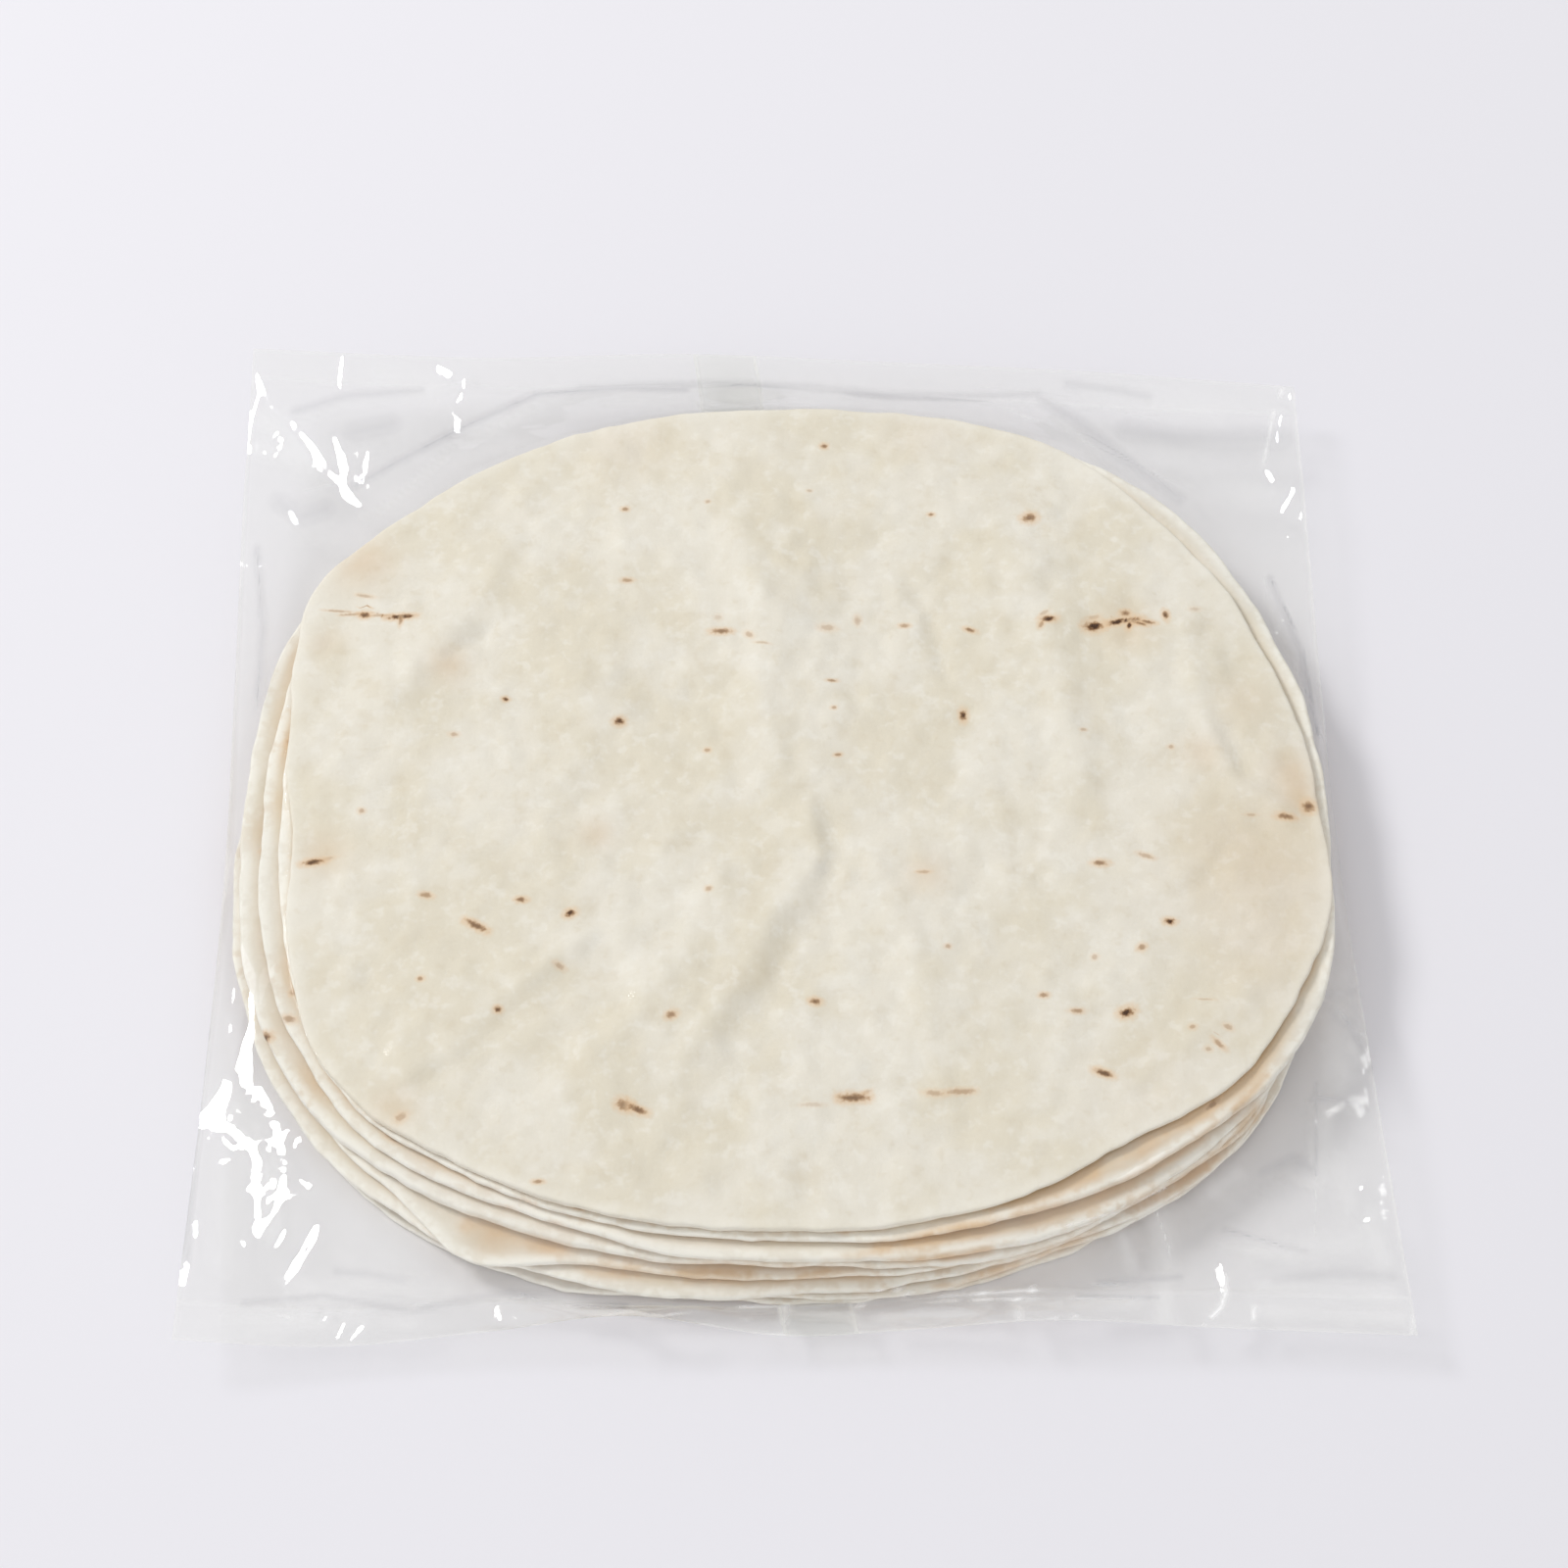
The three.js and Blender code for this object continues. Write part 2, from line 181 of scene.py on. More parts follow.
# Scorch marks, read from the photograph, by sheet: (u, v, half length, half width, angle,
# tone). u and v are pixels of the photograph, halves in millimetres and angles in degrees.
SCORCH_MARKS = {
    0: [
        (345, 623, 2.6, 0.25, -3, 0.4), (364, 626, 3.2, 0.3, 3, 0.45),
        (372, 627, 1.0, 0.75, 0, 0.8), (388, 628, 3.0, 0.3, 0, 0.4),
        (409, 630, 2.9, 0.65, 2, 0.95), (409, 634, 1.0, 0.4, 90, 0.6),
        (373, 608, 1.6, 0.35, -10, 0.35), (1069, 634, 1.5, 0.75, 5, 0.95),
        (1062, 640, 0.8, 0.5, 60, 0.55), (1065, 627, 0.9, 0.4, 30, 0.3),
        (1116, 639, 1.9, 1.15, 5, 1.0), (1116, 630, 1.1, 0.45, 10, 0.3),
        (1140, 635, 2.1, 0.7, 15, 0.95), (1148, 626, 0.9, 0.7, 0, 0.7),
        (1152, 639, 0.9, 0.5, 70, 0.9), (1157, 634, 1.7, 0.85, 5, 1.0),
        (1164, 638, 1.2, 0.4, -20, 0.7), (1171, 636, 1.4, 0.5, -10, 0.7),
        (1189, 629, 1.1, 0.6, 95, 0.8), (1219, 623, 1.0, 0.5, 0, 0.22),
        (871, 1120, 3.0, 0.85, 3, 0.75), (884, 1114, 1.0, 0.35, 25, 0.35),
        (953, 1116, 1.6, 0.6, -8, 0.42), (980, 1114, 2.6, 0.55, 4, 0.5),
        (829, 1128, 2.0, 0.4, 0, 0.2), (637, 1129, 1.3, 1.0, -20, 0.8),
        (650, 1133, 1.9, 0.65, -22, 0.75), (319, 879, 2.0, 0.65, 10, 0.85),
        (331, 876, 1.8, 0.4, 15, 0.3), (486, 945, 2.4, 0.7, -28, 0.75),
        (582, 933, 1.0, 0.75, 20, 0.9), (571, 987, 1.0, 0.55, -30, 0.42),
        (1312, 835, 1.7, 0.6, -8, 0.7), (1335, 824, 1.2, 1.15, 0, 0.75),
        (1150, 1033, 1.4, 0.95, 20, 0.97), (1217, 1049, 0.6, 0.5, 0, 0.45),
        (1253, 1049, 0.8, 0.5, -30, 0.4), (1244, 1066, 1.3, 0.45, -45, 0.55),
        (1233, 1071, 0.6, 0.5, 0, 0.35), (1230, 1020, 1.5, 0.2, -5, 0.25),
        (736, 645, 1.9, 0.6, 0, 0.7), (764, 649, 0.9, 0.5, -35, 0.38),
        (778, 659, 1.4, 0.25, -15, 0.28), (844, 641, 1.5, 0.75, 0, 0.33),
        (875, 632, 1.0, 0.65, 90, 0.35), (733, 631, 0.7, 0.6, 0, 0.2),
        (632, 736, 1.0, 0.8, 10, 0.85), (983, 730, 1.2, 0.7, 90, 0.9),
        (1050, 529, 1.4, 1.0, 10, 0.72), (841, 456, 0.7, 0.6, 0, 0.7),
        (1123, 880, 1.4, 0.6, 0, 0.68), (1169, 873, 1.4, 0.5, -22, 0.42),
        (1194, 940, 1.0, 0.65, 0, 0.97), (1165, 967, 0.8, 0.6, 25, 0.6),
        (1117, 976, 0.6, 0.5, 0, 0.35), (685, 1038, 1.0, 0.7, 25, 0.65),
        (923, 638, 0.9, 0.5, 0, 0.55), (990, 642, 1.1, 0.5, -20, 0.7),
        (638, 520, 0.7, 0.5, 0, 0.6), (950, 525, 0.6, 0.4, 0, 0.65),
        (722, 512, 0.5, 0.4, 0, 0.35), (826, 502, 0.5, 0.35, 0, 0.3),
        (640, 593, 1.0, 0.5, 0, 0.55), (516, 714, 0.6, 0.5, 0, 0.85),
        (463, 749, 0.8, 0.45, 0, 0.4), (369, 828, 0.6, 0.5, 0, 0.45),
        (722, 765, 0.6, 0.5, 0, 0.5), (849, 696, 0.9, 0.35, 0, 0.6), (851, 724, 0.5, 0.4, 0, 0.5),
        (855, 771, 0.7, 0.4, 15, 0.6), (1105, 747, 0.6, 0.35, 0, 0.35),
        (1195, 762, 0.5, 0.4, 0, 0.4), (435, 914, 1.1, 0.55, -10, 0.6),
        (532, 919, 1.0, 0.55, 0, 0.72), (429, 999, 0.6, 0.45, 0, 0.6),
        (508, 1031, 0.7, 0.6, 0, 0.8), (832, 1022, 1.0, 0.65, -10, 0.75),
        (723, 909, 0.6, 0.5, 0, 0.42), (967, 967, 0.6, 0.4, 0, 0.45),
        (1065, 1016, 0.8, 0.5, 0, 0.6), (1099, 1032, 1.1, 0.5, 0, 0.6),
        (1126, 1095, 1.7, 0.65, -20, 0.8), (549, 1207, 0.9, 0.4, 0, 0.6),
        (942, 891, 1.1, 0.35, 0, 0.4), (1276, 832, 0.9, 0.3, 0, 0.3),
        (409, 1141, 1.1, 0.8, 40, 0.4),
    ],
    1: [
        (535, 1229, 1.4, 0.6, -15, 0.7), (590, 1232, 1.1, 0.5, -15, 0.65),
        (1237, 1128, 1.6, 0.6, 45, 0.6),
    ],
    2: [
        (295, 1040, 1.1, 0.7, -20, 0.55), (297, 757, 0.9, 0.9, 0, 0.4),
        (402, 1161, 2.0, 0.7, -30, 0.45), (516, 1235, 1.3, 0.6, -10, 0.55),
        (566, 1250, 1.2, 0.5, -10, 0.5),
    ],
    3: [
        (270, 1058, 1.3, 0.9, 10, 0.8), (274, 870, 1.1, 0.6, 0, 0.65),
    ],
    4: [(1208, 1207, 0.8, 0.6, 0, 0.7)],
}
MARK_SETS = 3  # sets that the marks are shared out to, to keep them apart
MARK_REACH = 2.0  # how far past a mark its halo can come
# Other marks and patches at random near the lower sheets' rims: (how many, seed), and ranges of
# the share of the way out and of what else each of them has.
RANDOM_MARKS = (22, 70, [(0.55, 0.985), (0.6, 1.9), (0.35, 0.8), (-40, 40), (0.3, 0.85)])
RANDOM_PATCHES = (16, 90, [(0.9, 1.0), (5, 14), (0.2, 0.7)])

# Faint tan patches, read in the same way: (u, v, radius, strength). The widest on the top sheet
# make its right side darker; those on the lower sheets add painted shade to their bared margins.
TAN_AND_SHADE_PATCHES = {
    0: [
        (368, 572, 10, 0.5), (458, 680, 6, 0.45), (608, 851, 5, 0.35), (1318, 785, 7, 0.42),
        (1270, 720, 9, 0.18), (1330, 815, 6, 0.45), (945, 892, 6, 0.35), (332, 655, 5, 0.25),
        (330, 870, 7, 0.4), (1150, 640, 8, 0.35), (940, 440, 12, 0.12), (640, 450, 14, 0.15),
        (1225, 770, 6, 0.3), (400, 1135, 7, 0.35), (1284, 880, 24, 0.28), (1290, 985, 18, 0.12),
        (1180, 1120, 20, 0.08),
    ],
    1: [
        (300, 700, 7, 0.6), (1030, 1225, 8, 0.45), (1100, 1200, 8, 0.5), (1160, 1170, 8, 0.45),
        (1210, 1140, 7, 0.4), (1260, 1095, 7, 0.4), (525, 1228, 7, 0.35),
    ],
    2: [
        (297, 760, 8, 0.8), (290, 1000, 9, 0.6), (940, 1270, 8, 0.9), (1000, 1262, 8, 0.8),
        (1060, 1247, 8, 0.8), (1110, 1235, 8, 0.8), (1150, 1222, 7, 0.7),
    ],
    3: [
        (305, 1110, 10, 0.6), (268, 1060, 7, 0.5), (262, 850, 8, 0.4), (1190, 1200, 7, 0.6),
        (1240, 1165, 7, 0.6),
    ],
    4: [
        (505, 1262, 7, 0.8), (560, 1280, 6, 0.6), (620, 1298, 8, 0.7), (680, 1300, 8, 0.8),
        (740, 1302, 8, 0.8), (800, 1300, 9, 0.9), (860, 1296, 9, 0.8), (920, 1290, 8, 0.6),
        (1040, 1285, 8, 0.8), (1100, 1270, 8, 0.6),
    ],
    5: [
        (1170, 1232, 8, 0.7), (1230, 1205, 8, 0.7), (1280, 1150, 7, 0.5),
    ],
}

MARGIN_FADE = 2.2  # how far out from under the sheet above its painted shade goes
MARGIN_SHADE = 0.25  # usual strength of that painted shade
MARGIN_NOISE = [(0.5, 12, 120)]
MARGIN_SHADE_BELLS = [(-100, 12, 0.2), (-78, 12, 0.2), (-50, 16, 0.2)]  # more of that painted shade, as bells
UNDER_SHADE = 0.6  # painted shade on a sheet's underside and the lower half of its nose
RIM_START = 0.975  # share of the way out at which the floury rim begins, also painted paler as lit
TOP_RIM = 0.3  # how floury and painted pale the top sheet's rim is, next to the others

# Painted shade, brown, in the recesses between the lower rims, as they show in the photograph:
# (half width, strength, points), in its pixels.
RECESS_SHADE_PATHS = [
    (9, 0.85, [(606, 1294), (660, 1299), (720, 1298), (780, 1299), (812, 1296)]),
    (4, 0.6, [(700, 1307), (722, 1304), (740, 1306), (764, 1312)]),
    (6, 0.9, [(812, 1303), (840, 1298), (872, 1297), (886, 1293)]),
    (6, 0.3, [(842, 1289), (866, 1284)]), (7, 0.6, [(866, 1284), (888, 1278)]),
    (8, 0.95, [(896, 1275), (910, 1271), (935, 1266), (965, 1257), (1000, 1250), (1022, 1246)]),
    (6, 0.7, [(1022, 1244), (1060, 1236), (1100, 1226), (1130, 1216)]),
    (5, 0.85, [(905, 1288), (925, 1287), (950, 1284), (982, 1280), (1010, 1275)]),
    (7, 0.8, [(992, 1303), (1020, 1294), (1046, 1286), (1066, 1278), (1090, 1268), (1115, 1256)]),
    (4, 0.5, [(956, 1312), (990, 1310)]),
    (8, 0.6, [(1010, 1232), (1060, 1222), (1110, 1204), (1160, 1178), (1205, 1148), (1245, 1114),
              (1284, 1072), (1310, 1034), (1336, 985)]),
    (5, 0.8, [(1112, 1224), (1150, 1206), (1185, 1188), (1220, 1166), (1250, 1142), (1274, 1118),
              (1292, 1098)]),
    (7, 0.85, [(1158, 1230), (1196, 1212), (1232, 1188), (1260, 1162), (1284, 1132)]),
    (8, 0.7, [(476, 1250), (510, 1259), (545, 1268), (578, 1277)]),
    (6, 0.5, [(590, 1291), (616, 1297)]),
]

# ---- Film: the same outline as in the part's solids ----
BACK_LEFT = (BAG_LOW[0], 160.0, 23.5)
FRONT_LEFT = (-165.0, -168.4, 15.5)
FRONT_RIGHT = (BAG_HIGH[0], -166.0, 12.0)
BACK_RIGHT = (162.7, 150.5, 16.0)
FRONT_EDGE = [FRONT_LEFT, (-124, -168.2, 9.5), (-80, -164.4, 11), (-43, -161.8, 16),
              (-1, -165.1, 9.5), (34, -163.9, 11), (72, -162.5, 14.5), (118, -163.8, 12),
              FRONT_RIGHT]
RIGHT_FOLD = [FRONT_RIGHT, (165.6, -96, 14.5), (162.2, -20, 13.5), (161.9, 45, 14.5),
              (162.4, 110, 16.5), BACK_RIGHT]
BACK_EDGE = [BACK_LEFT, (-98, 162.6, 15.5), (-32, 168.4, 10), (32, 162.8, 13), (95, 155.2, 18),
             BACK_RIGHT]
LEFT_FOLD = [FRONT_LEFT, (-165.0, -100, 9), (-164.4, -30, 12), (-166.9, 39, 14),
             (-169.6, 106, 17.5), BACK_LEFT]
# Where the film's two layers meet and the flat seal begins, between the two folded sides.
FRONT_ROOT = [(-124, -157.8, 7.5), (-80, -155.2, 6.8), (-43, -156.0, 6.5), (-1, -155.8, 5.0),
              (34, -153.6, 6.0), (72, -152.4, 8.5), (118, -153.2, 8.5)]
BACK_ROOT = [(-98, 152.2, 12.0), (-32, 157.8, 7.5), (32, 152.2, 9.5), (95, 144.8, 13.5)]

FILM_CLEARANCE = 0.45  # film to the bread that it lies on
WELD_HALF = 0.12  # half the thickness of the sealed bands
FOLD_HALF = 0.20  # and of the folded sides
FILM_FLOOR = 0.45  # lowest the film comes over the table
CORNER_SAG = 4.5  # fall of the loose film in a corner, below a straight line
FULL_SAG_SPAN = 70.0  # reach past the stack at which it sags that much
TIGHT_SPAN = 12.0  # film with less reach than this is pulled flat
LOWER_SAG = 0.6  # sag of the lower layer next to the upper one's
FREE_START = 3.0  # distance from the bread at which film is free to crease
FACETS = [(1.0, 21, 11), (0.35, 8, 12)]  # crumples of the upper layer: (height, size, seed)
LOWER_FACETS = [(1.0, 26, 13)]
FACET_WAVES = 5
FACET_STRETCH = (0.6, 1.5)  # least and most length of a facet's wave, over its size
WARP_HEIGHT, WARP_SIZE = 0.35, 1.6  # warp of the facets, over their size

FILM_LINES = 277  # grid lines each way of the upper layer
LOWER_STEP = 2  # the lower layer has every second line
SEAL_LINES = 16  # of these, lines across each seal
EDGE_BAND = 62.0  # outer band of the film with a fine grid
MIDDLE_COARSENESS = 3.2  # middle spacing over edge spacing

MIRROR_MARGIN = 0.14  # least difference from the mirror slope outside a glint
MIRROR_BLEND = 0.03  # difference over which the push away from it fades in
PLAIN_WEIGHT = 0.01  # pull of the film's own slopes, next to that of a glint
SHY_WEIGHT = 0.3  # pull away from the mirror slope outside a glint
FREE_HOLD = 0.000005  # pull back to its own height, of free film
SIDE_HOLD = 0.005  # of a folded side
FIRM_HOLD = 10.0  # and of film at a sealed end or on the bread
FIT_STEPS = 400
GLINT_ROUNDS = 4  # times that the glints are put where the moved film shows
GLINT_EDGE, GLINT_BLEND = 2.0, 2.4  # pixels that a glint spreads by, and over which it fades

SEAM_FRONT, SEAM_BACK = 9.5, -20.0  # middle of the back seam at the two ends of the bag
SEAM_TOP, SEAM_BOTTOM = 0.06, 0.14  # how far under the lower layer the seam's faces are
SEAM_SHARES = (0, 0.04, 0.08, 0.5, 0.92, 0.96, 1)  # lines across it
SEAM_HAZE = (0.28, 0.28, 0.02, 0.02, 0.02, 0.28, 0.28)  # and the haze on them

SEAL_HAZE, ROOT_HAZE, EDGE_HAZE = 0.06, 0.14, 0.3  # of a seal, its root and the bag's edge
VEIL = 0.09  # haze of the film that is pulled down in front of the stack, as a painted sheen
VEIL_FADE = 6.0  # distance from the top sheet over which it comes in
VEIL_HALF, VEIL_SIDE_FADE = 140.0, 60.0  # its half width, and how far it fades there
CLING_END = 0.05  # looseness at which film no longer clings
UNDER_CLING = 0.85  # how little the lower layer mirrors
UNDER_HAZE = 0.3  # most haze that it has
FAR_CREASE = 50.0  # crease distance where there is none

# Places where the film catches the key light, in pixels of the photograph: (width, points).
FILM_GLINTS = [
    # back left corner
    (5, [(262, 386), (264, 404), (258, 424), (254, 446), (254, 458)]),
    (7, [(262, 384), (276, 414), (302, 436), (325, 468), (342, 488)]),
    (7, [(252, 460), (286, 461), (316, 473), (342, 487)]), (8, [(322, 472), (345, 492)]),
    (6, [(349, 364), (347, 382), (346, 396)]), (6, [(343, 448), (348, 470), (352, 484)]),
    (5, [(376, 460), (372, 484), (358, 492)]), (6, [(350, 490), (352, 506), (366, 517)]),
    (7, [(446, 377), (460, 382)]), (6, [(474, 388), (471, 404), (466, 414)]),
    (7, [(462, 422), (468, 430), (465, 441)]), (6, [(298, 524), (301, 534)]),
    # front left corner
    (5, [(258, 1000), (257, 1040)]), (10, [(257, 1050), (252, 1070), (246, 1092)]),
    (11, [(252, 1078), (250, 1104)]), (6, [(234, 1106), (218, 1128), (204, 1145)]),
    (5, [(206, 1146), (236, 1152), (252, 1164), (262, 1184)]),
    (5, [(234, 1112), (226, 1134), (222, 1148)]),
    (6, [(264, 1112), (280, 1140), (287, 1166), (290, 1196)]),
    (5, [(262, 1180), (263, 1210), (262, 1242), (263, 1262)]),
    (5, [(290, 1196), (287, 1222), (277, 1242), (266, 1256)]),
    (10, [(268, 1262), (276, 1284), (286, 1304)]), (5, [(290, 1304), (304, 1282), (322, 1250)]),
    (5, [(290, 1314), (304, 1296), (322, 1266), (324, 1250)]), (7, [(313, 1328), (320, 1335)]),
    (5, [(334, 1342), (330, 1348)]), (5, [(352, 1350), (344, 1366), (340, 1374)]),
    (5, [(372, 1352), (360, 1364), (354, 1372)]), (4, [(202, 1246), (199, 1262)]),
    (4, [(192, 1290), (186, 1310)]),
    # front seal
    (6, [(508, 1332), (507, 1348)]), (6, [(520, 1334), (521, 1348)]),
    (5, [(534, 1342), (535, 1350)]), (4, [(712, 1338), (713, 1350)]),
    (5, [(955, 1336), (956, 1342)]), (5, [(1040, 1322), (1041, 1328)]),
    (5, [(1045, 1340), (1046, 1348)]), (5, [(1070, 1342), (1071, 1347)]),
    # front right corner
    (6, [(1238, 1290), (1244, 1306), (1249, 1320)]), (5, [(1247, 1292), (1249, 1310)]),
    (6, [(1249, 1322), (1246, 1336), (1238, 1343)]), (6, [(1231, 1350), (1227, 1357)]),
    (5, [(1279, 1334), (1279, 1346)]), (5, [(1380, 1212), (1392, 1212)]),
    (4, [(1396, 1192), (1404, 1186)]), (5, [(1418, 1190), (1420, 1200)]),
    (4, [(1390, 1246), (1400, 1244)]),
    # back right corner
    (6, [(1316, 403), (1315, 409)]), (5, [(1308, 420), (1304, 440), (1302, 454)]),
    (9, [(1294, 484), (1297, 490)]), (7, [(1320, 500), (1314, 512), (1306, 524)]),
    (6, [(1328, 524), (1326, 532)]), (6, [(1316, 546), (1312, 552)]),
    # back seal
    (5, [(712, 382), (713, 392)]), (5, [(726, 380), (724, 390)]), (5, [(752, 400), (754, 412)]),
    (4, [(766, 398), (767, 408)]),
]

# Thin bright creases: (how faint, points), in pixels of the photograph.
FILM_CREASES = [
    (0.0, [(1299, 594), (1316, 631), (1329, 661), (1338, 710), (1345, 750)]),
    (0.0, [(1352, 1010), (1378, 1046), (1400, 1064)]),
    (0.8, [(1340, 450), (1338, 560), (1342, 640)]),
    (0.6, [(1050, 1262), (1140, 1236), (1190, 1212)]),
    (0.8, [(1180, 1236), (1195, 1280), (1196, 1330)]),
    (0.8, [(1250, 1255), (1300, 1268), (1340, 1290)]),
    (0.0, [(530, 1320), (567, 1332), (607, 1333), (667, 1342)]),
    (0.0, [(580, 1348), (617, 1343), (640, 1338), (673, 1343), (723, 1336), (773, 1333),
           (800, 1332)]), (0.0, [(650, 1340), (707, 1353), (740, 1360), (807, 1363)]),
    (0.0, [(880, 1316), (960, 1322), (1060, 1316), (1190, 1306)]),
    (0.0, [(900, 1330), (1010, 1326), (1180, 1324)]),
    (0.7, [(232, 1330), (262, 1338), (300, 1346)]),
    (0.7, [(360, 1340), (430, 1330), (480, 1328)]),
    (1.2, [(362, 496), (400, 474), (470, 437), (548, 402), (632, 396), (760, 392)]),
    (1.2, [(280, 508), (340, 494), (372, 483)]),
    (1.2, [(940, 405), (1010, 410), (1060, 430), (1150, 470), (1215, 500)]),
    (1.2, [(1040, 424), (1110, 444), (1170, 478), (1200, 506)]),
    (1.2, [(1000, 395), (1090, 404), (1180, 430)]),
    (1.0, [(1290, 590), (1302, 640), (1330, 700), (1352, 760)]),
    (1.0, [(1330, 470), (1342, 560), (1350, 660), (1362, 760)]),
    (1.0, [(262, 560), (268, 640), (262, 720)]),
    (1.0, [(1343, 1123), (1343, 1200), (1342, 1262)]),
    (0.8, [(1400, 1040), (1404, 1103), (1420, 1180)]),
    (1.0, [(1345, 1118), (1372, 1124), (1392, 1130)]),
    (1.0, [(240, 1345), (350, 1338), (470, 1330), (540, 1322)]),
]

# Painted sheens on facets of the film, and white specks as painted glints: (half width, haze,
# points), in the same pixels.
FILM_PAINTED_SHEENS = [
    (14, 0.24, [(272, 430), (318, 470)]), (9, 0.2, [(262, 455), (300, 468)]),
    (14, 0.12, [(236, 520), (232, 700)]), (12, 0.12, [(390, 380), (440, 400)]),
    (12, 0.14, [(560, 412), (700, 404), (850, 402)]), (8, 0.14, [(480, 440), (560, 414)]),
    (14, 0.12, [(1120, 398), (1240, 418)]), (12, 0.12, [(1180, 470), (1290, 500)]),
    (18, 0.22, [(230, 1116), (262, 1160)]), (12, 0.25, [(275, 1180), (275, 1250)]),
    (14, 0.14, [(236, 1180), (228, 1290)]), (18, 0.1, [(330, 1200), (420, 1296)]),
    (10, 0.16, [(300, 1310), (460, 1312)]), (8, 0.14, [(230, 1345), (420, 1350)]),
    (13, 0.3, [(1184, 1240), (1190, 1284)]), (10, 0.3, [(1188, 1318), (1188, 1352)]),
    (7, 0.25, [(1146, 1262), (1154, 1290)]), (9, 0.22, [(1236, 1216), (1262, 1198)]),
    (16, 0.24, [(1366, 1000), (1364, 1090)]), (10, 0.2, [(1354, 1130), (1352, 1200)]),
    (14, 0.16, [(1280, 1275), (1390, 1262)]), (12, 0.2, [(1398, 1236), (1412, 1284)]),
    (12, 0.18, [(1364, 1180), (1378, 1230)]), (8, 0.22, [(1290, 1310), (1420, 1320)]),
    (7, 0.2, [(1290, 1338), (1430, 1345)]), (8, 0.22, [(1040, 1330), (1160, 1328)]),
    (5, 0.35, [(812, 1340), (866, 1342)]), (5, 0.25, [(900, 1344), (1000, 1340)]),
    (2.0, 1.4, [(1249, 1302), (1251, 1318), (1246, 1334), (1236, 1344)]),
    (2.0, 1.2, [(1280, 1334), (1279, 1346)]), (2.5, 1.4, [(1228, 1354), (1222, 1360)]),
    (1.8, 0.98, [(876, 1334), (882, 1330)]), (1.8, 0.98, [(914, 1317), (920, 1316)]),
    (2.1, 1.12, [(926, 1322), (930, 1321)]), (1.8, 0.98, [(996, 1316), (1004, 1320)]),
    (2.1, 1.12, [(1038, 1326), (1043, 1326)]), (1.8, 0.98, [(1052, 1314), (1053, 1318)]),
    (1.8, 0.98, [(1058, 1340), (1060, 1341)]), (1.8, 0.98, [(1066, 1348), (1080, 1345)]),
    (1.6, 0.9, [(1095, 1344), (1100, 1342)]), (1.8, 0.98, [(758, 1338), (760, 1346)]),
    (1.8, 0.9, [(800, 1334), (799, 1350)]), (1.8, 0.9, [(872, 1332), (871, 1350)]),
    (1.8, 0.68, [(1040, 1326), (1041, 1346)]), (1.6, 0.68, [(1000, 1318), (1002, 1340)]),
    (1.6, 0.83, [(1300, 420), (1290, 470)]), (2.0, 1.05, [(1308, 398), (1306, 404)]),
    (1.6, 0.9, [(1244, 1354), (1262, 1356)]), (1.6, 0.9, [(1442, 1342), (1441, 1360)]),
]

# Painted shade, as soft grey lines along folds of the film, a few grey patches and the top edge of
# a shadow on the table, and patches where it is dull: (half width, strength, points), in the same
# pixels.
FILM_SHADE_LINES = [
    (3.0, 0.34, [(362, 496), (400, 474), (470, 437), (548, 402), (632, 396), (700, 398)]),
    (3.0, 0.28, [(590, 396), (690, 391), (760, 391), (830, 394), (900, 402), (1000, 404),
                 (1060, 402)]), (4.0, 0.26, [(1060, 405), (1100, 430), (1150, 470), (1204, 508)]),
    (4.5, 0.26, [(1090, 392), (1140, 398), (1172, 405)]),
    (7.0, 0.18, [(1150, 438), (1200, 446), (1290, 447), (1306, 447)]),
    (6.0, 0.2, [(285, 512), (306, 528), (332, 520)]), (6.0, 0.16, [(360, 440), (400, 432)]),
    (3.0, 0.24, [(262, 560), (268, 640), (262, 720)]),
    (3.0, 0.24, [(300, 420), (352, 404), (430, 398)]),
    (2.5, 0.3, [(1296, 590), (1313, 631), (1326, 661), (1335, 710), (1342, 750)]),
    (6.0, 0.28, [(1362, 1036), (1376, 1046)]), (5.0, 0.26, [(1352, 1016), (1380, 1012)]),
    (3.0, 0.34, [(1376, 1046), (1390, 1074), (1400, 1092)]),
    (3.0, 0.28, [(1340, 1122), (1370, 1122), (1392, 1130)]),
    (2.0, 0.3, [(1343, 1106), (1343, 1198)]),
    (3.0, 0.32, [(1120, 1309), (1160, 1307), (1204, 1303)]),
    (2.5, 0.34, [(1100, 1322), (1150, 1323), (1182, 1324)]),
    (3.0, 0.24, [(1250, 1255), (1300, 1268), (1332, 1277)]),
    (4.0, 0.16, [(1300, 1308), (1360, 1300), (1420, 1302)]),
    (3.0, 0.24, [(1288, 1196), (1320, 1181), (1342, 1195)]),
    (4.0, 0.2, [(344, 1298), (376, 1300), (412, 1307)]),
    (4.0, 0.26, [(466, 1328), (520, 1319), (580, 1326), (636, 1331)]),
    (3.0, 0.24, [(250, 1330), (330, 1322), (420, 1338), (466, 1328)]),
    (2.5, 0.22, [(216, 960), (206, 1100), (198, 1200), (190, 1290)]),
]
DULL_PATCHES = [(15, 1.0, [(1342, 1146), (1364, 1127), (1390, 1112)])]

# ---- Camera and key light, in millimetres ----
CAMERA_PLACE = np.array((-0.65, -448.9, 799.7))
CAMERA_TILT = math.radians(30)  # away from straight down
CAMERA_LENS = 70.1
SENSOR = 36.0
PHOTO_SIZE = 1600
FOCAL_PIXELS = CAMERA_LENS / SENSOR * PHOTO_SIZE
KEY_TOWARD = np.array((-0.93, 0.5, 1.0))
KEY_DISTANCE = 3600.0
KEY_PLACE = KEY_TOWARD / np.linalg.norm(KEY_TOWARD) * KEY_DISTANCE
KEY_SPREAD = math.radians(15)  # how wide the key light looks from the bag
BRIGHT_SKY = (0.0, 0.5, 0.866)  # direction of the brightest fill light
FRONT_SKY = (0.1, -0.95, 0.29)  # and of the light from the front
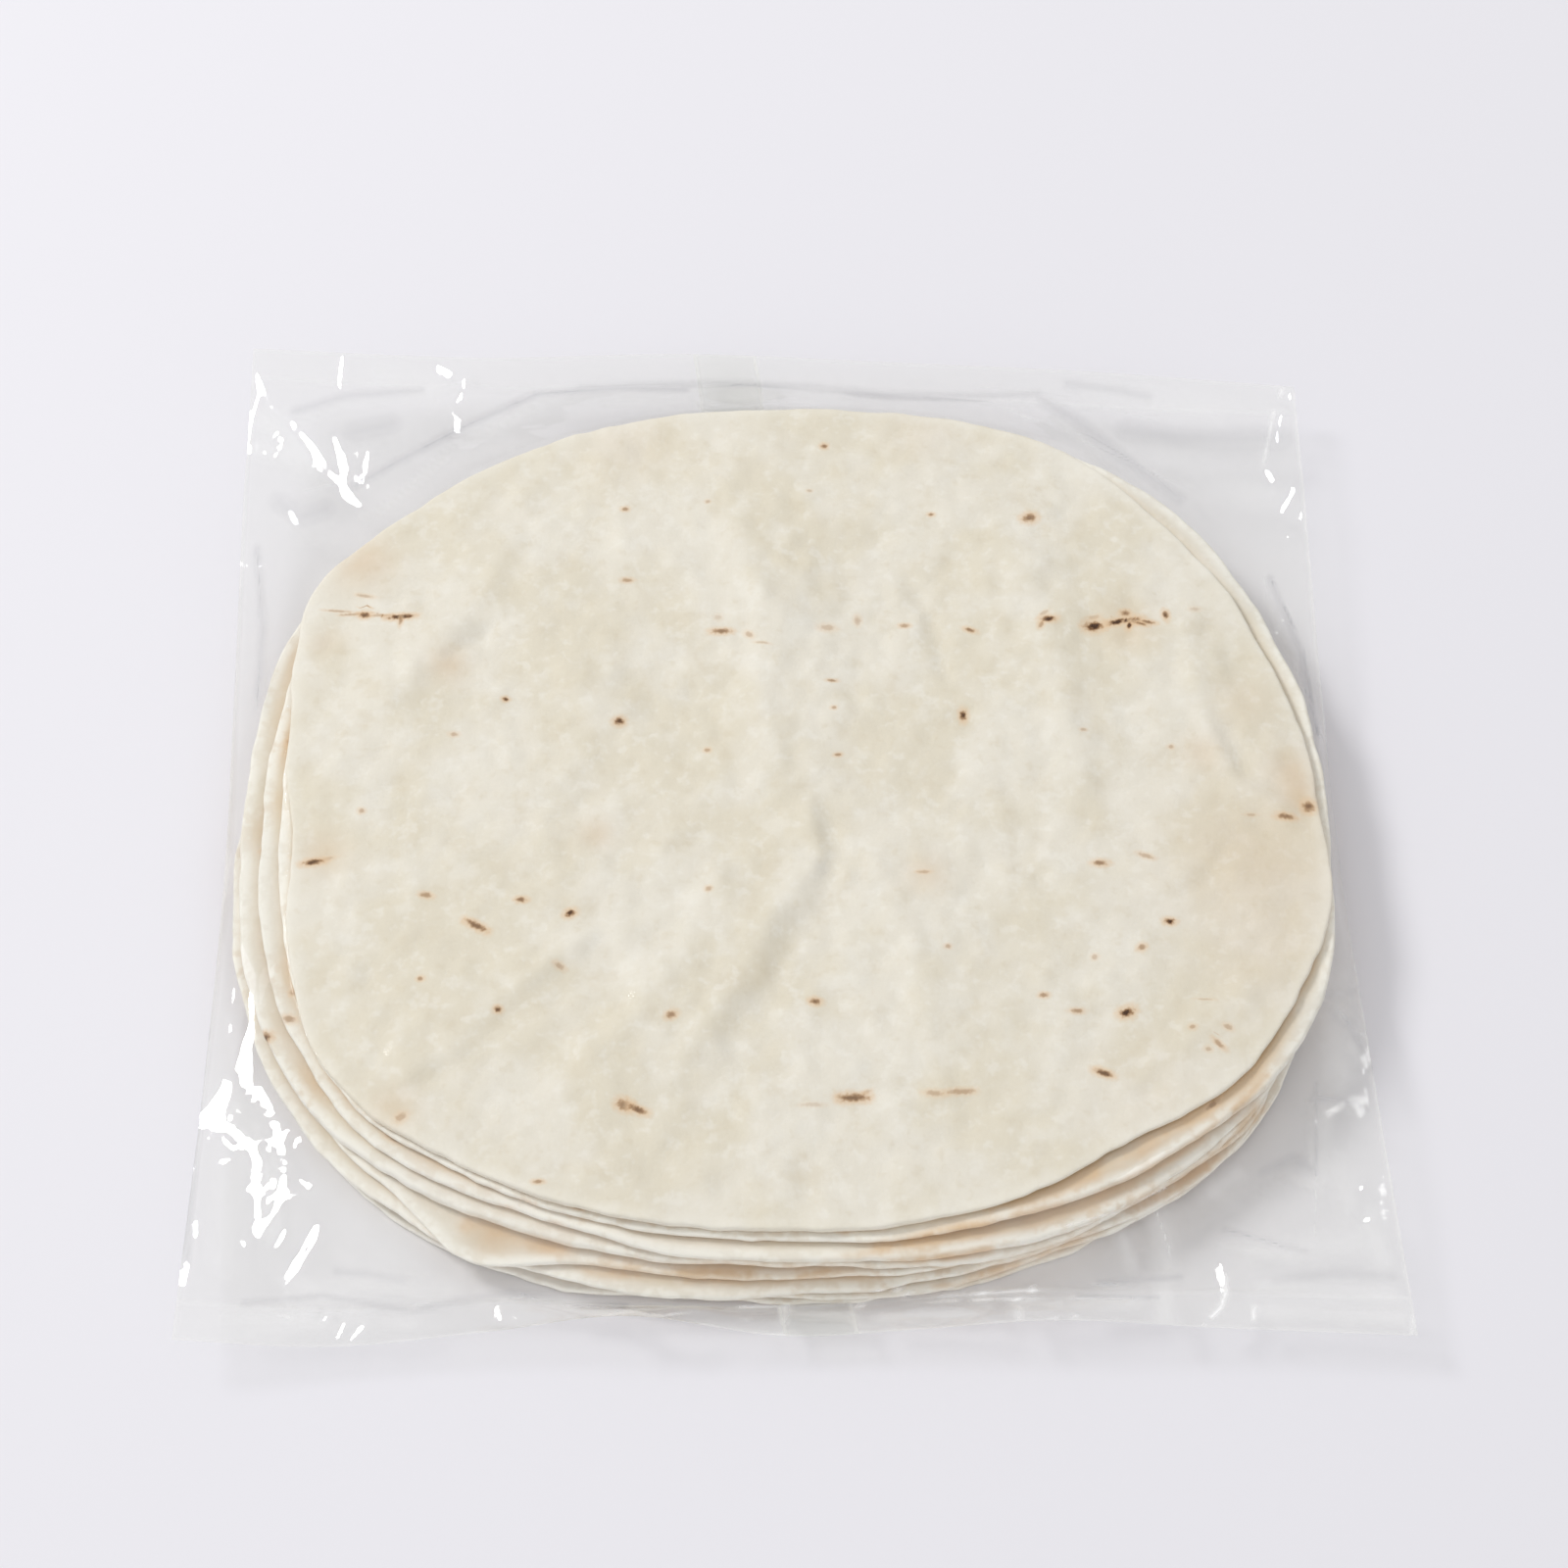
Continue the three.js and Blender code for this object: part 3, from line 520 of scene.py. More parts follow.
# Colours of the fill light: all round, and about those two directions.
ROUND_COLOR, BRIGHT_COLOR, FRONT_COLOR = (0.68, 0.68, 0.695), (2.0, 2.0, 2.0), (2.8, 2.8, 2.8)
BRIGHT_COSINES, FRONT_COSINES = (0.1, 1.0), (0.3, 0.95)  # between which they come in
TABLE_HALF = 4000.0

LATTICE = 97  # points along a side of the noise's lattice
CURVE_STEPS = 40  # steps of a smooth curve from one point to the next
REACH_ROUNDS = 12  # rounds in which a sheet's edge is found from the origin


# ---- Numbers ----
def bell(distance, spread):
    """exp(-(distance / spread) squared)."""
    return np.exp(-((distance / spread) ** 2))


def ease(share):
    """Smooth step from 0 to 1: 3 share^2 - 2 share^3, held at 0 and 1 outside."""
    share = np.clip(share, 0.0, 1.0)
    return share * share * (3 - 2 * share)


def rising(value, start, span):
    """Smooth step from 0 where a value is at its start to 1 a span further on."""
    return ease((value - start) / span)


def bells_at(direction, bells):
    """Sum of bells round the circle, each (direction, spread, amount), its angles in degrees."""
    degrees = np.degrees(direction)
    return sum(amount * bell((degrees - towards + 180) % 360 - 180, spread)
               for towards, spread, amount in bells)


def smooth_noise(x, y, cell, seed):
    """Random heights from -1 to 1 on a turned square lattice, eased between its points."""
    turn = 0.6 + seed
    u = (x * math.cos(turn) - y * math.sin(turn)) / cell
    v = (x * math.sin(turn) + y * math.cos(turn)) / cell
    lattice = np.random.default_rng(seed).uniform(-1, 1, (LATTICE, LATTICE))
    i, j = np.floor(u).astype(int), np.floor(v).astype(int)
    across, along = ease(u - i), ease(v - j)

    def corner(di, dj):
        return lattice[(i + di) % LATTICE, (j + dj) % LATTICE]

    near = corner(0, 0) * (1 - across) + corner(1, 0) * across
    far = corner(0, 1) * (1 - across) + corner(1, 1) * across
    return near * (1 - along) + far * along


def layered_noise(x, y, layers, index=0, base=0):
    """A base and noises on it, each (height, cell, seed), with an index added to the seeds."""
    return sum((height * smooth_noise(x, y, cell, seed + index) for height, cell, seed in layers),
               base)


def folded_noise(x, y, wavelength, seed):
    """Mean of triangle waves in random directions, warped a little: flat facets and creases."""
    rng = np.random.default_rng(seed)
    warp, cell = WARP_HEIGHT * wavelength, WARP_SIZE * wavelength
    x, y = (x + warp * smooth_noise(x, y, cell, seed + 1),
            y + warp * smooth_noise(x, y, cell, seed + 2))
    draws = (rng.uniform(*span, FACET_WAVES) for span in ((0, np.pi), FACET_STRETCH, (0, 1)))
    total = 0.0
    for turn, stretch, phase in zip(*draws):
        wave = (x * math.cos(turn) + y * math.sin(turn)) / (wavelength * stretch) + phase
        total = total + 4 * np.abs(wave - np.floor(wave + 0.5)) - 1
    return total / FACET_WAVES


def layered_facets(x, y, layers):
    """Sum of folded noises, each (height, wavelength, seed)."""
    return sum(height * folded_noise(x, y, size, seed) for height, size, seed in layers)


def smooth_path(points, shares):
    """Centripetal Catmull-Rom curve through points, read at shares of its length.

    Each stretch is a cubic whose end slopes come from the neighbouring points, with knots
    spaced by the square root of the distance between points.
    """
    points = np.array(points, float)
    before, after = 2 * points[:1] - points[1:2], 2 * points[-1:] - points[-2:-1]
    around_points = np.concatenate([before, points, after])
    gaps = np.sqrt(np.linalg.norm(np.diff(around_points, axis=0), axis=1))[:, None]
    p0, p1, p2, p3 = (around_points[k:len(around_points) - 3 + k] for k in range(4))
    g0, g1, g2 = (gaps[k:len(gaps) - 2 + k] for k in range(3))
    start = g1 * ((p1 - p0) / g0 - (p2 - p0) / (g0 + g1) + (p2 - p1) / g1)
    end = g1 * ((p2 - p1) / g1 - (p3 - p1) / (g1 + g2) + (p3 - p2) / g2)
    w = np.linspace(0, 1, CURVE_STEPS, endpoint=False)[:, None, None]
    stretch = ((2 * w**3 - 3 * w**2 + 1) * p1 + (w**3 - 2 * w**2 + w) * start
               + (3 * w**2 - 2 * w**3) * p2 + (w**3 - w**2) * end)
    curve = np.concatenate([stretch.transpose(1, 0, 2).reshape(-1, points.shape[1]), points[-1:]])
    run = np.concatenate([[0], np.cumsum(np.linalg.norm(np.diff(curve, axis=0), axis=1))])
    return np.stack([np.interp(np.asarray(shares) * run[-1], run, axis) for axis in curve.T], -1)


def path_length(points):
    """Length of the polyline through points."""
    return np.linalg.norm(np.diff(points, axis=0), axis=1).sum()


def from_photo(pixels, height):
    """Where the camera's rays through pixels meet a level height: a perspective, undone."""
    pixels = np.array(pixels, float)
    right = (pixels[..., 0] - PHOTO_SIZE / 2) / FOCAL_PIXELS
    up = (PHOTO_SIZE / 2 - pixels[..., 1]) / FOCAL_PIXELS
    sine, cosine = math.sin(CAMERA_TILT), math.cos(CAMERA_TILT)
    drop = CAMERA_PLACE[2] - height
    forward = drop * (sine + up * cosine) / (cosine - up * sine)
    depth = forward * sine + drop * cosine
    return np.stack([CAMERA_PLACE[0] + right * depth, CAMERA_PLACE[1] + forward], -1)


def to_photo(points):
    """Pixels at which the camera sees points: the same perspective, done."""
    away = points - CAMERA_PLACE
    sine, cosine = math.sin(CAMERA_TILT), math.cos(CAMERA_TILT)
    depth = away[..., 1] * sine - away[..., 2] * cosine
    up = away[..., 1] * cosine + away[..., 2] * sine
    return np.stack([PHOTO_SIZE / 2 + FOCAL_PIXELS * away[..., 0] / depth,
                     PHOTO_SIZE / 2 - FOCAL_PIXELS * up / depth], -1)


def path_gap(places, path):
    """Distance from places to a polyline, both with x and y: the least over its stretches."""
    path = np.array(path, float)
    gaps = []
    for start, end in zip(path, path[1:]):
        along = end - start
        share = np.clip((places - start) @ along / (along @ along), 0, 1)
        gaps.append(np.linalg.norm(places - start - share[..., None] * along, axis=-1))
    return np.min(gaps, axis=0)


def on_paths(layer, paths):
    """The most of the bells across paths, each (half width, strength, points), at points of a
    layer as the camera sees them."""
    pixels = to_photo(layer)
    return np.max([strength * bell(path_gap(pixels, path), half_width)
                   for half_width, strength, path in paths], axis=0)


def mirror_slope(points):
    """Slope of a surface that mirrors the key light to the camera, at each point.

    Its normal is half way between the directions to the two, so the slope along x is minus the
    normal's x over its z, and the same along y.
    """
    to_camera = CAMERA_PLACE - points
    to_key = KEY_PLACE - points
    half = (to_camera / np.linalg.norm(to_camera, axis=-1, keepdims=True)
            + to_key / np.linalg.norm(to_key, axis=-1, keepdims=True))
    return -half[..., :2] / half[..., 2:]


# ---- Sheets ----
def sheet_radius(sheet, angle):
    """Radius of a sheet about its own middle: a superellipse and its lobes."""
    across = np.abs(np.cos(angle) / sheet["half_width"]) ** SHEET_SQUARENESS
    along = np.abs(np.sin(angle) / sheet["half_depth"]) ** SHEET_SQUARENESS
    return (across + along) ** (-1 / SHEET_SQUARENESS) + bells_at(angle, sheet["lobes"])


def sheet_reach(sheet, direction):
    """Distance from the origin to a sheet's edge in a direction, found by stepping to it."""
    reach = np.full_like(direction, sheet["half_width"])
    for _ in range(REACH_ROUNDS):
        dx = reach * np.cos(direction) - sheet["x"]
        dy = reach * np.sin(direction) - sheet["y"]
        reach = reach + sheet_radius(sheet, np.arctan2(dy, dx)) - np.hypot(dx, dy)
    return reach


def rim_place(index):
    """Height of a rim's top in the stack, before its waves."""
    if index < UPPER_SHEETS:
        return STACK_HEIGHT - index * UPPER_PITCH
    return FIRST_LOWER_TOP - (index - UPPER_SHEETS) * LOWER_PITCH


def round_noise(direction, layers, index, base=0):
    """A base and noises on it along a circle of a sheet's size, by direction."""
    x, y = np.cos(direction), np.sin(direction)
    radius = SHEETS[0]["half_width"]
    return layered_noise(radius * x, radius * y, layers, index, base)


def rim_rise(index, direction):
    """Rise of a rim above its place: its lifts, and a sine and noise along its length."""
    wave = RIM_WAVE * np.sin((5 + index % 3) * direction + 1.7 * index)
    wave = round_noise(direction, RIM_NOISE, index, wave)
    return wave + bells_at(direction, SHEETS[index]["lifts"])


def rim_body(index, direction, thickness):
    """Thickness of a sheet's puffed rim: what is left above the next rim and an air gap."""
    if index == len(SHEETS) - 1:
        return LOWEST_RIM * thickness + 0 * direction
    pitch = rim_place(index) - rim_place(index + 1)
    pitch = pitch + rim_rise(index, direction) - rim_rise(index + 1, direction)
    gap = RIM_GAP * (1 + round_noise(direction, GAP_NOISE, index))
    return np.maximum(pitch - gap - bells_at(direction, SHEETS[index]["gaps"]),
                      THINNEST_RIM * thickness)


def fold_height(fold, x, y):
    """A bell across the line from one end of a fold to the other."""
    x1, y1, x2, y2, height, half_width = fold
    ux, uy = x2 - x1, y2 - y1
    along = np.clip(((x - x1) * ux + (y - y1) * uy) / (ux * ux + uy * uy), 0, 1)
    return height * bell(np.hypot(x - x1 - along * ux, y - y1 - along * uy), half_width)


def ridge_height(ridge, x, y):
    """The highest of the bells across the stretches of a ridge, fading towards its ends."""
    height, half_width, pixels = ridge
    points = from_photo(pixels, STACK_HEIGHT)
    stretches = [fold_height((*a, *b, 1.0, half_width), x, y) for a, b in zip(points, points[1:])]
    return height * np.max(stretches, axis=0)


def top_relief(x, y):
    """Relief of the top sheet's upper face: folds, dishes, ridges and three sizes of bump."""
    relief = sum(fold_height(fold, x, y) for fold in TOP_FOLDS)
    relief = relief + sum(depth * bell(np.hypot(x - dish_x, y - dish_y), radius)
                          for dish_x, dish_y, depth, radius in TOP_DISHES)
    relief = relief + RIDGE_STRENGTH * sum(ridge_height(ridge, x, y) for ridge in TOP_RIDGES)
    return layered_noise(x, y, TOP_NOISE, base=relief)


def sheet_face(index, x, y, share, thickness):
    """Height of a sheet's upper face at a share of the way out to its rim.

    The middle lies at an even pitch, and the outer part eases to the rim's own place, waves and
    lifts.
    """
    direction = np.arctan2(y, x)
    pitch = (STACK_HEIGHT - thickness - BASE_CLEARANCE) / (len(SHEETS) - 1)
    middle = STACK_HEIGHT - index * pitch
    face = middle + (rim_place(index) - middle) * rising(share, *RIM_EASE)
    ripple = layered_noise(x, y, FACE_NOISE) + layered_noise(x, y, OWN_NOISE, index)
    face = face + (rim_rise(index, direction) + ripple) * rising(share, *WAVE_EASE)
    if index == 0:
        face = face + top_relief(x, y) * (1 - RELIEF_LOSS * rising(share, *RELIEF_EASE))
    return face


def scatter(index, count, seed, ranges):
    """Places at random near a sheet's rim, each with random numbers in ranges, of which the
    first is for its share of the way out."""
    sheet, rng = SHEETS[index], np.random.default_rng(seed + index)
    angle = rng.uniform(0, 2 * np.pi, count)
    radius = sheet_radius(sheet, angle) * rng.uniform(*ranges[0], count)
    return list(zip(sheet["x"] + radius * np.cos(angle), sheet["y"] + radius * np.sin(angle),
                    *(rng.uniform(*span, count) for span in ranges[1:])))


def on_sheet(index, table, others):
    """What a table has for a sheet, placed on its rim's level, then on a sheet below the top
    some others at random."""
    placed = [(*from_photo((u, v), rim_place(index)), *shape)
              for u, v, *shape in table.get(index, [])]
    return placed + (scatter(index, *others) if index > 0 else [])


def share_out(marks):
    """Puts each mark into the set whose marks are furthest from it."""
    sets = [[] for _ in range(MARK_SETS)]
    for mark in marks:
        room = [min((math.dist(mark[:2], other[:2]) - other[2] for other in others), default=1e6)
                for others in sets]
        sets[int(np.argmax(room))].append(mark)
    return sets


def mark_field(marks, x, y):
    """Places about the nearest mark, and its tone, which fades out past MARK_REACH.

    A place is measured along and across the mark, over its half length and half width, so that
    the mark's edge is where its length is 1.
    """
    nearest = np.full_like(x, np.inf)
    place, tone = np.zeros((3, len(x))), np.zeros_like(x)
    for mark_x, mark_y, half_length, half_width, angle, mark_tone in marks:
        dx, dy = x - mark_x, y - mark_y
        cosine, sine = math.cos(math.radians(angle)), math.sin(math.radians(angle))
        beyond = np.hypot(dx, dy) - half_length
        nearer = beyond < nearest
        nearest = np.where(nearer, beyond, nearest)
        place[0] = np.where(nearer, (dx * cosine + dy * sine) / half_length, place[0])
        place[1] = np.where(nearer, (dy * cosine - dx * sine) / half_width, place[1])
        tone = np.where(nearer, mark_tone * ease((2 * MARK_REACH - beyond) / MARK_REACH), tone)
    return place.T, tone


def tan_and_shade_on(index, x, y):
    """Strength of the tan and the painted shade: bells at its patches, and below the top sheet a
    margin of painted shade under the rim of the sheet above, which fades out from it."""
    tan = sum(strength * bell(np.hypot(x - patch_x, y - patch_y), radius) for
              patch_x, patch_y, radius, strength in on_sheet(index, TAN_AND_SHADE_PATCHES, RANDOM_PATCHES))
    if index > 0:
        direction = np.arctan2(y, x)
        bared = np.hypot(x, y) - sheet_reach(SHEETS[index - 1], direction)
        strength = MARGIN_SHADE + bells_at(direction, MARGIN_SHADE_BELLS)
        strength = strength * (1 + round_noise(direction, MARGIN_NOISE, index))
        tan = tan + strength * np.exp(-np.maximum(bared, 0) / MARGIN_FADE)
    return tan


def ring_shares(count, crowding):
    """Shares of the way out: evenly spaced for a crowding of 1, closer at the rim above it."""
    return 1 - (1 - np.linspace(1 / count, 1, count)) ** crowding


def sheet_rings(index, sectors, face_rings, thickness):
    """A sheet's skin as rings of points, from near the middle of its upper face, round its
    rim's blunt nose, to near the middle of its underside. Each point also has its share of the
    way out, and its level, from 1 on the upper face to -1 on the underside."""
    sheet = SHEETS[index]
    angle = np.linspace(0, 2 * np.pi, sectors, endpoint=False)[None, :]
    edge = sheet_radius(sheet, angle)
    edge_x, edge_y = edge * np.cos(angle), edge * np.sin(angle)
    noises = [(EDGE_WAVE + MORE_WAVE * index, 15, 50), (EDGE_CRUMBLE, 4.5, 60)]
    edge = layered_noise(edge_x, edge_y, noises, index, edge)
    flat = edge - RIM_NOSE
    upper = ring_shares(face_rings, 1.0 if index == 0 else RIM_CROWDING)[:, None]
    lower = UNDER_SHARES[:, None]
    nose = NOSE_ANGLES[:, None]
    out = RIM_NOSE * np.cos(nose) ** NOSE_BLUNTNESS
    radius = np.concatenate([flat * upper, flat + out, flat * lower])
    x, y = sheet["x"] + radius * np.cos(angle), sheet["y"] + radius * np.sin(angle)
    share = np.minimum(radius / flat, 1.0)
    face = sheet_face(index, x, y, share, thickness)
    puffed = rim_body(index, np.arctan2(y, x), thickness)
    dent = RIM_DENT * (smooth_noise(x, y, DENT_SIZE, 80 + index) - 1)
    body = thickness + (puffed - thickness + dent) * rising(share, *PUFF_EASE)
    level = np.concatenate([np.ones_like(upper), np.sin(nose), -np.ones_like(lower)])
    return np.stack([x, y, face + (level - 1) / 2 * body], -1), share, level + 0 * share


# ---- Film ----
class Outline:
    """The inner outline of the film, along the seals' roots and the folded sides, read by the
    direction from the origin."""

    def __init__(self, lines):
        points = np.concatenate(lines)
        direction = np.arctan2(points[:, 1], points[:, 0])
        order = np.argsort(direction)
        self.direction = direction[order]
        self.reach = np.hypot(points[order, 0], points[order, 1])
        self.height = points[order, 2]

    def at(self, direction):
        """(reach, height) in a direction."""
        return (np.interp(direction, self.direction, self.reach, period=2 * np.pi),
                np.interp(direction, self.direction, self.height, period=2 * np.pi))


def stretched(radius, anchors, sign):
    """Height of film pulled over anchors, each (radius, height) arrays: the upper hull of the
    anchors for sign 1, and their lower hull for sign -1, from every pair's straight line."""
    height = np.full_like(radius, -np.inf)
    for (r1, z1), (r2, z2) in itertools.combinations(anchors, 2):
        span = np.where(np.abs(r2 - r1) < 1e-6, 1e-6, r2 - r1)
        share = (radius - r1) / span
        line = sign * (z1 + (z2 - z1) * share)
        height = np.where((share >= 0) & (share <= 1), np.maximum(height, line), height)
    return sign * height


def free_film(x, y, outline, thickness):
    """Heights of the film's upper and lower layers inside the seals' roots, how loose the film
    is there, from 0 on the stack to 1 in the middle of a wide corner, and how free it is to
    crease, from 0 on the stack to 1 next to it.

    Each layer is pulled straight from the rims that it touches to the bag's edge, and sags in
    the corners. On the stack the upper layer lies on the top sheet.
    """
    direction, radius = np.arctan2(y, x), np.hypot(x, y)
    reach, edge_height = outline.at(direction)
    radius = np.minimum(radius, reach)
    rims = [sheet_reach(sheet, direction) for sheet in SHEETS]
    tops = [rim_place(index) + rim_rise(index, direction) for index in range(len(SHEETS))]
    uppers = [(rim + FILM_CLEARANCE, top + FILM_CLEARANCE) for rim, top in zip(rims, tops)]
    lowers = [(rim + FILM_CLEARANCE, np.maximum(top - thickness - FILM_CLEARANCE, FILM_FLOOR))
              for rim, top in zip(rims, tops)]
    edge = (reach, edge_height)
    upper = stretched(radius, [*uppers, edge], 1)
    lower = stretched(radius, [*lowers, edge], -1)

    top_sheet = SHEETS[0]
    dx, dy = x - top_sheet["x"], y - top_sheet["y"]
    share = np.hypot(dx, dy) / (sheet_radius(top_sheet, np.arctan2(dy, dx)) - RIM_NOSE)
    on_top = sheet_face(0, x, y, share, thickness) + FILM_CLEARANCE
    upper = np.where(radius <= uppers[0][0], on_top, upper)
    lower = np.where(radius <= lowers[-1][0], FILM_FLOOR, lower)

    root = uppers[0][0]
    span = np.maximum(reach - root, 1e-3)
    out = np.clip((radius - root) / span, 0, 1)
    loose = np.sin(np.pi * out) * rising(span, TIGHT_SPAN, FULL_SAG_SPAN - TIGHT_SPAN)
    free = ease(out * span / FREE_START)
    upper = upper - CORNER_SAG * loose
    lower = np.maximum(lower - LOWER_SAG * CORNER_SAG * loose, FILM_FLOOR)
    return upper, lower, loose, free


def slopes(points):
    """Slopes along x and y of a grid of points, from its steps along rows and columns."""
    row, column = np.gradient(points, axis=0), np.gradient(points, axis=1)
    area = column[..., 0] * row[..., 1] - row[..., 0] * column[..., 1]
    area = np.where(np.abs(area) < 1e-9, 1e-9, area)
    along_x = (column[..., 2] * row[..., 1] - row[..., 2] * column[..., 1]) / area
    along_y = (row[..., 2] * column[..., 0] - column[..., 2] * row[..., 0]) / area
    return np.stack([along_x, along_y], -1)


def off_the_mirror(slope, mirror):
    """Slopes moved straight away from the mirror slope until they differ by MIRROR_MARGIN."""
    apart = slope - mirror
    size = np.linalg.norm(apart, axis=-1, keepdims=True)
    return mirror + apart * np.maximum(1, MIRROR_MARGIN / np.maximum(size, 1e-3))


def fit_slopes(points, own, slope, weight, hold):
    """Heights of a grid of points whose steps come nearest to the wanted slopes.

    The least squares sum takes each step's height against slope times step, times the weight
    there, and each height against the film's own, times hold. It is solved by conjugate
    gradients, from the points' heights on.
    """
    start = points[..., 2]
    steps, weights = [], []
    for axis in (0, 1):
        step = np.diff(points[..., :2], axis=axis)
        middle = (np.delete(slope, 0, axis) + np.delete(slope, -1, axis)) / 2
        steps.append((step * middle).sum(-1))
        weights.append((np.delete(weight, 0, axis) + np.delete(weight, -1, axis)) / 2)

    def gather(parts):
        """Sum at each point of what comes in along its steps less what goes out."""
        total = np.zeros_like(start)
        total[1:] += parts[0]
        total[:-1] -= parts[0]
        total[:, 1:] += parts[1]
        total[:, :-1] -= parts[1]
        return total

    def pull(height):
        along = [w * np.diff(height, axis=axis) for axis, w in enumerate(weights)]
        return gather(along) + hold * height

    change = np.zeros_like(start)
    rest = gather([w * (step - np.diff(start, axis=axis))
                   for axis, (w, step) in enumerate(zip(weights, steps))]) + hold * (own - start)
    scale = 1 / (4 * weight + hold)
    search = scale * rest
    size = (rest * search).sum()
    for _ in range(FIT_STEPS):
        pulled = pull(search)
        share = size / (search * pulled).sum()
        change = change + share * search
        rest = rest - share * pulled
        eased = scale * rest
        new_size = (rest * eased).sum()
        search = eased + new_size / size * search
        size = new_size
    return start + change


def glint_share(pixels, glints):
    """1 inside the glints and 0 outside, at pixels of the photograph."""
    share = np.zeros(pixels.shape[:-1])
    for width, path in glints:
        inside = width / 2 + GLINT_EDGE - path_gap(pixels, path)
        share = np.maximum(share, ease(inside / GLINT_BLEND))
    return share


def crease_film(film, hold, glints):
    """A film layer creased so that it mirrors the key light in its glints and nowhere else.

    In a glint the wanted slope is the mirror slope. Elsewhere it is the film's own, or where
    that comes near to the mirror slope, one further from it.
    """
    own, own_slope = film[..., 2].copy(), slopes(film)
    film = film.copy()
    for _ in range(GLINT_ROUNDS):
        share = glint_share(to_photo(film), glints)
        mirror, slope = mirror_slope(film), slopes(film)
        gap = np.linalg.norm(slope - mirror, axis=-1)
        near = (1 - share) * ease((MIRROR_MARGIN - gap) / MIRROR_BLEND)
        wanted = own_slope + near[..., None] * (off_the_mirror(slope, mirror) - own_slope)
        wanted = wanted + share[..., None] * (mirror - wanted)
        weight = PLAIN_WEIGHT + SHY_WEIGHT * near + share
        film[..., 2] = fit_slopes(film, own, wanted, weight, hold)
    return film


def graded(count, length, band, coarseness):
    """Shares from 0 to 1 with fine steps in a band at each end and coarser ones between."""
    place = np.linspace(0, length, 2000)
    inward = np.minimum(place, length - place)
    density = 1 / (1 + (coarseness - 1) * rising(inward, band, band))
    total = np.concatenate([[0], np.cumsum((density[1:] + density[:-1]) / 2)])
    return np.interp(np.linspace(0, 1, count), total / total[-1], place / length)


def film_layers(seal_width, crumple, thickness):
    """The film as two layers of points, their rows running from front to back. The lower one
    has every LOWER_STEP-th line of the upper one.

    The middle is a Coons patch: opposite sides blended both ways, less the corners' own blend.
    Each seal is a straight strip from its root to its edge.
    """
    left, right = (smooth_path(side, np.linspace(0, 1, 800)) for side in (LEFT_FOLD, RIGHT_FOLD))
    seal_share = seal_width / path_length(left)
    rows = graded(FILM_LINES - 2 * SEAL_LINES, 1 - 2 * seal_share, EDGE_BAND / path_length(left),
                  MIDDLE_COARSENESS)
    rows = seal_share + rows * (1 - 2 * seal_share)
    columns = graded(FILM_LINES, path_length(left), EDGE_BAND, MIDDLE_COARSENESS)
    left, right = smooth_path(LEFT_FOLD, rows), smooth_path(RIGHT_FOLD, rows)
    front = smooth_path([left[0], *FRONT_ROOT, right[0]], columns)
    back = smooth_path([left[-1], *BACK_ROOT, right[-1]], columns)
    outline = Outline([front, right, back, left])

    s = columns[None, :, None]
    t = ((rows - rows[0]) / (rows[-1] - rows[0]))[:, None, None]
    patch = ((1 - t) * front[None] + t * back[None] + (1 - s) * left[:, None]
             + s * right[:, None]
             - (1 - t) * ((1 - s) * front[0] + s * front[-1])
             - t * ((1 - s) * back[0] + s * back[-1]))
    x, y = patch[..., 0], patch[..., 1]
    upper, lower, loose, free = free_film(x, y, outline, thickness)
    for line in (np.s_[0, :], np.s_[-1, :], np.s_[:, 0], np.s_[:, -1]):
        upper[line] = lower[line] = patch[line][..., 2]

    def strips(height):
        middle = np.dstack([x, y, height])
        share = np.linspace(0, 1, SEAL_LINES + 1)[:, None, None]
        front_edge = smooth_path(FRONT_EDGE, columns)
        back_edge = smooth_path(BACK_EDGE, columns)
        front_seal = front_edge + (middle[0] - front_edge) * share
        back_seal = middle[-1] + (back_edge - middle[-1]) * share
        return np.concatenate([front_seal[:-1], middle, back_seal[1:]])

    upper, lower = strips(upper), strips(lower)
    loose = np.pad(loose, ((SEAL_LINES, SEAL_LINES), (0, 0)))
    free = np.pad(free, ((SEAL_LINES, SEAL_LINES), (0, 0)))
    in_seal = np.zeros(loose.shape)
    in_seal[:SEAL_LINES + 1], in_seal[-SEAL_LINES - 1:] = 1, 1
    x, y = upper[..., 0], upper[..., 1]
    amount = np.sqrt(loose)
    upper[..., 2] += amount * crumple * layered_facets(x, y, FACETS)
    lower[..., 2] += amount * crumple * layered_facets(x, y, LOWER_FACETS)

    free = np.maximum(free, in_seal)
    hold = FIRM_HOLD * (FREE_HOLD / FIRM_HOLD) ** free
    hold[:, [0, -1]] = SIDE_HOLD
    hold[[0, -1]] = FIRM_HOLD
    upper = crease_film(upper, hold, FILM_GLINTS)
    every = np.s_[::LOWER_STEP, ::LOWER_STEP]
    lower = crease_film(lower[every], hold[every], [])
    lower[..., 2] += in_seal[every] * (upper[every][..., 2] - lower[..., 2])
    lower[..., 2] = np.maximum(np.minimum(lower[..., 2], upper[every][..., 2]), FILM_FLOOR)
    half = np.where(in_seal > 0, WELD_HALF, FOLD_HALF)
    upper[..., 2] = np.maximum(upper[..., 2], FILM_FLOOR) + half
    lower[..., 2] -= half[every]
    return upper, lower, in_seal, loose


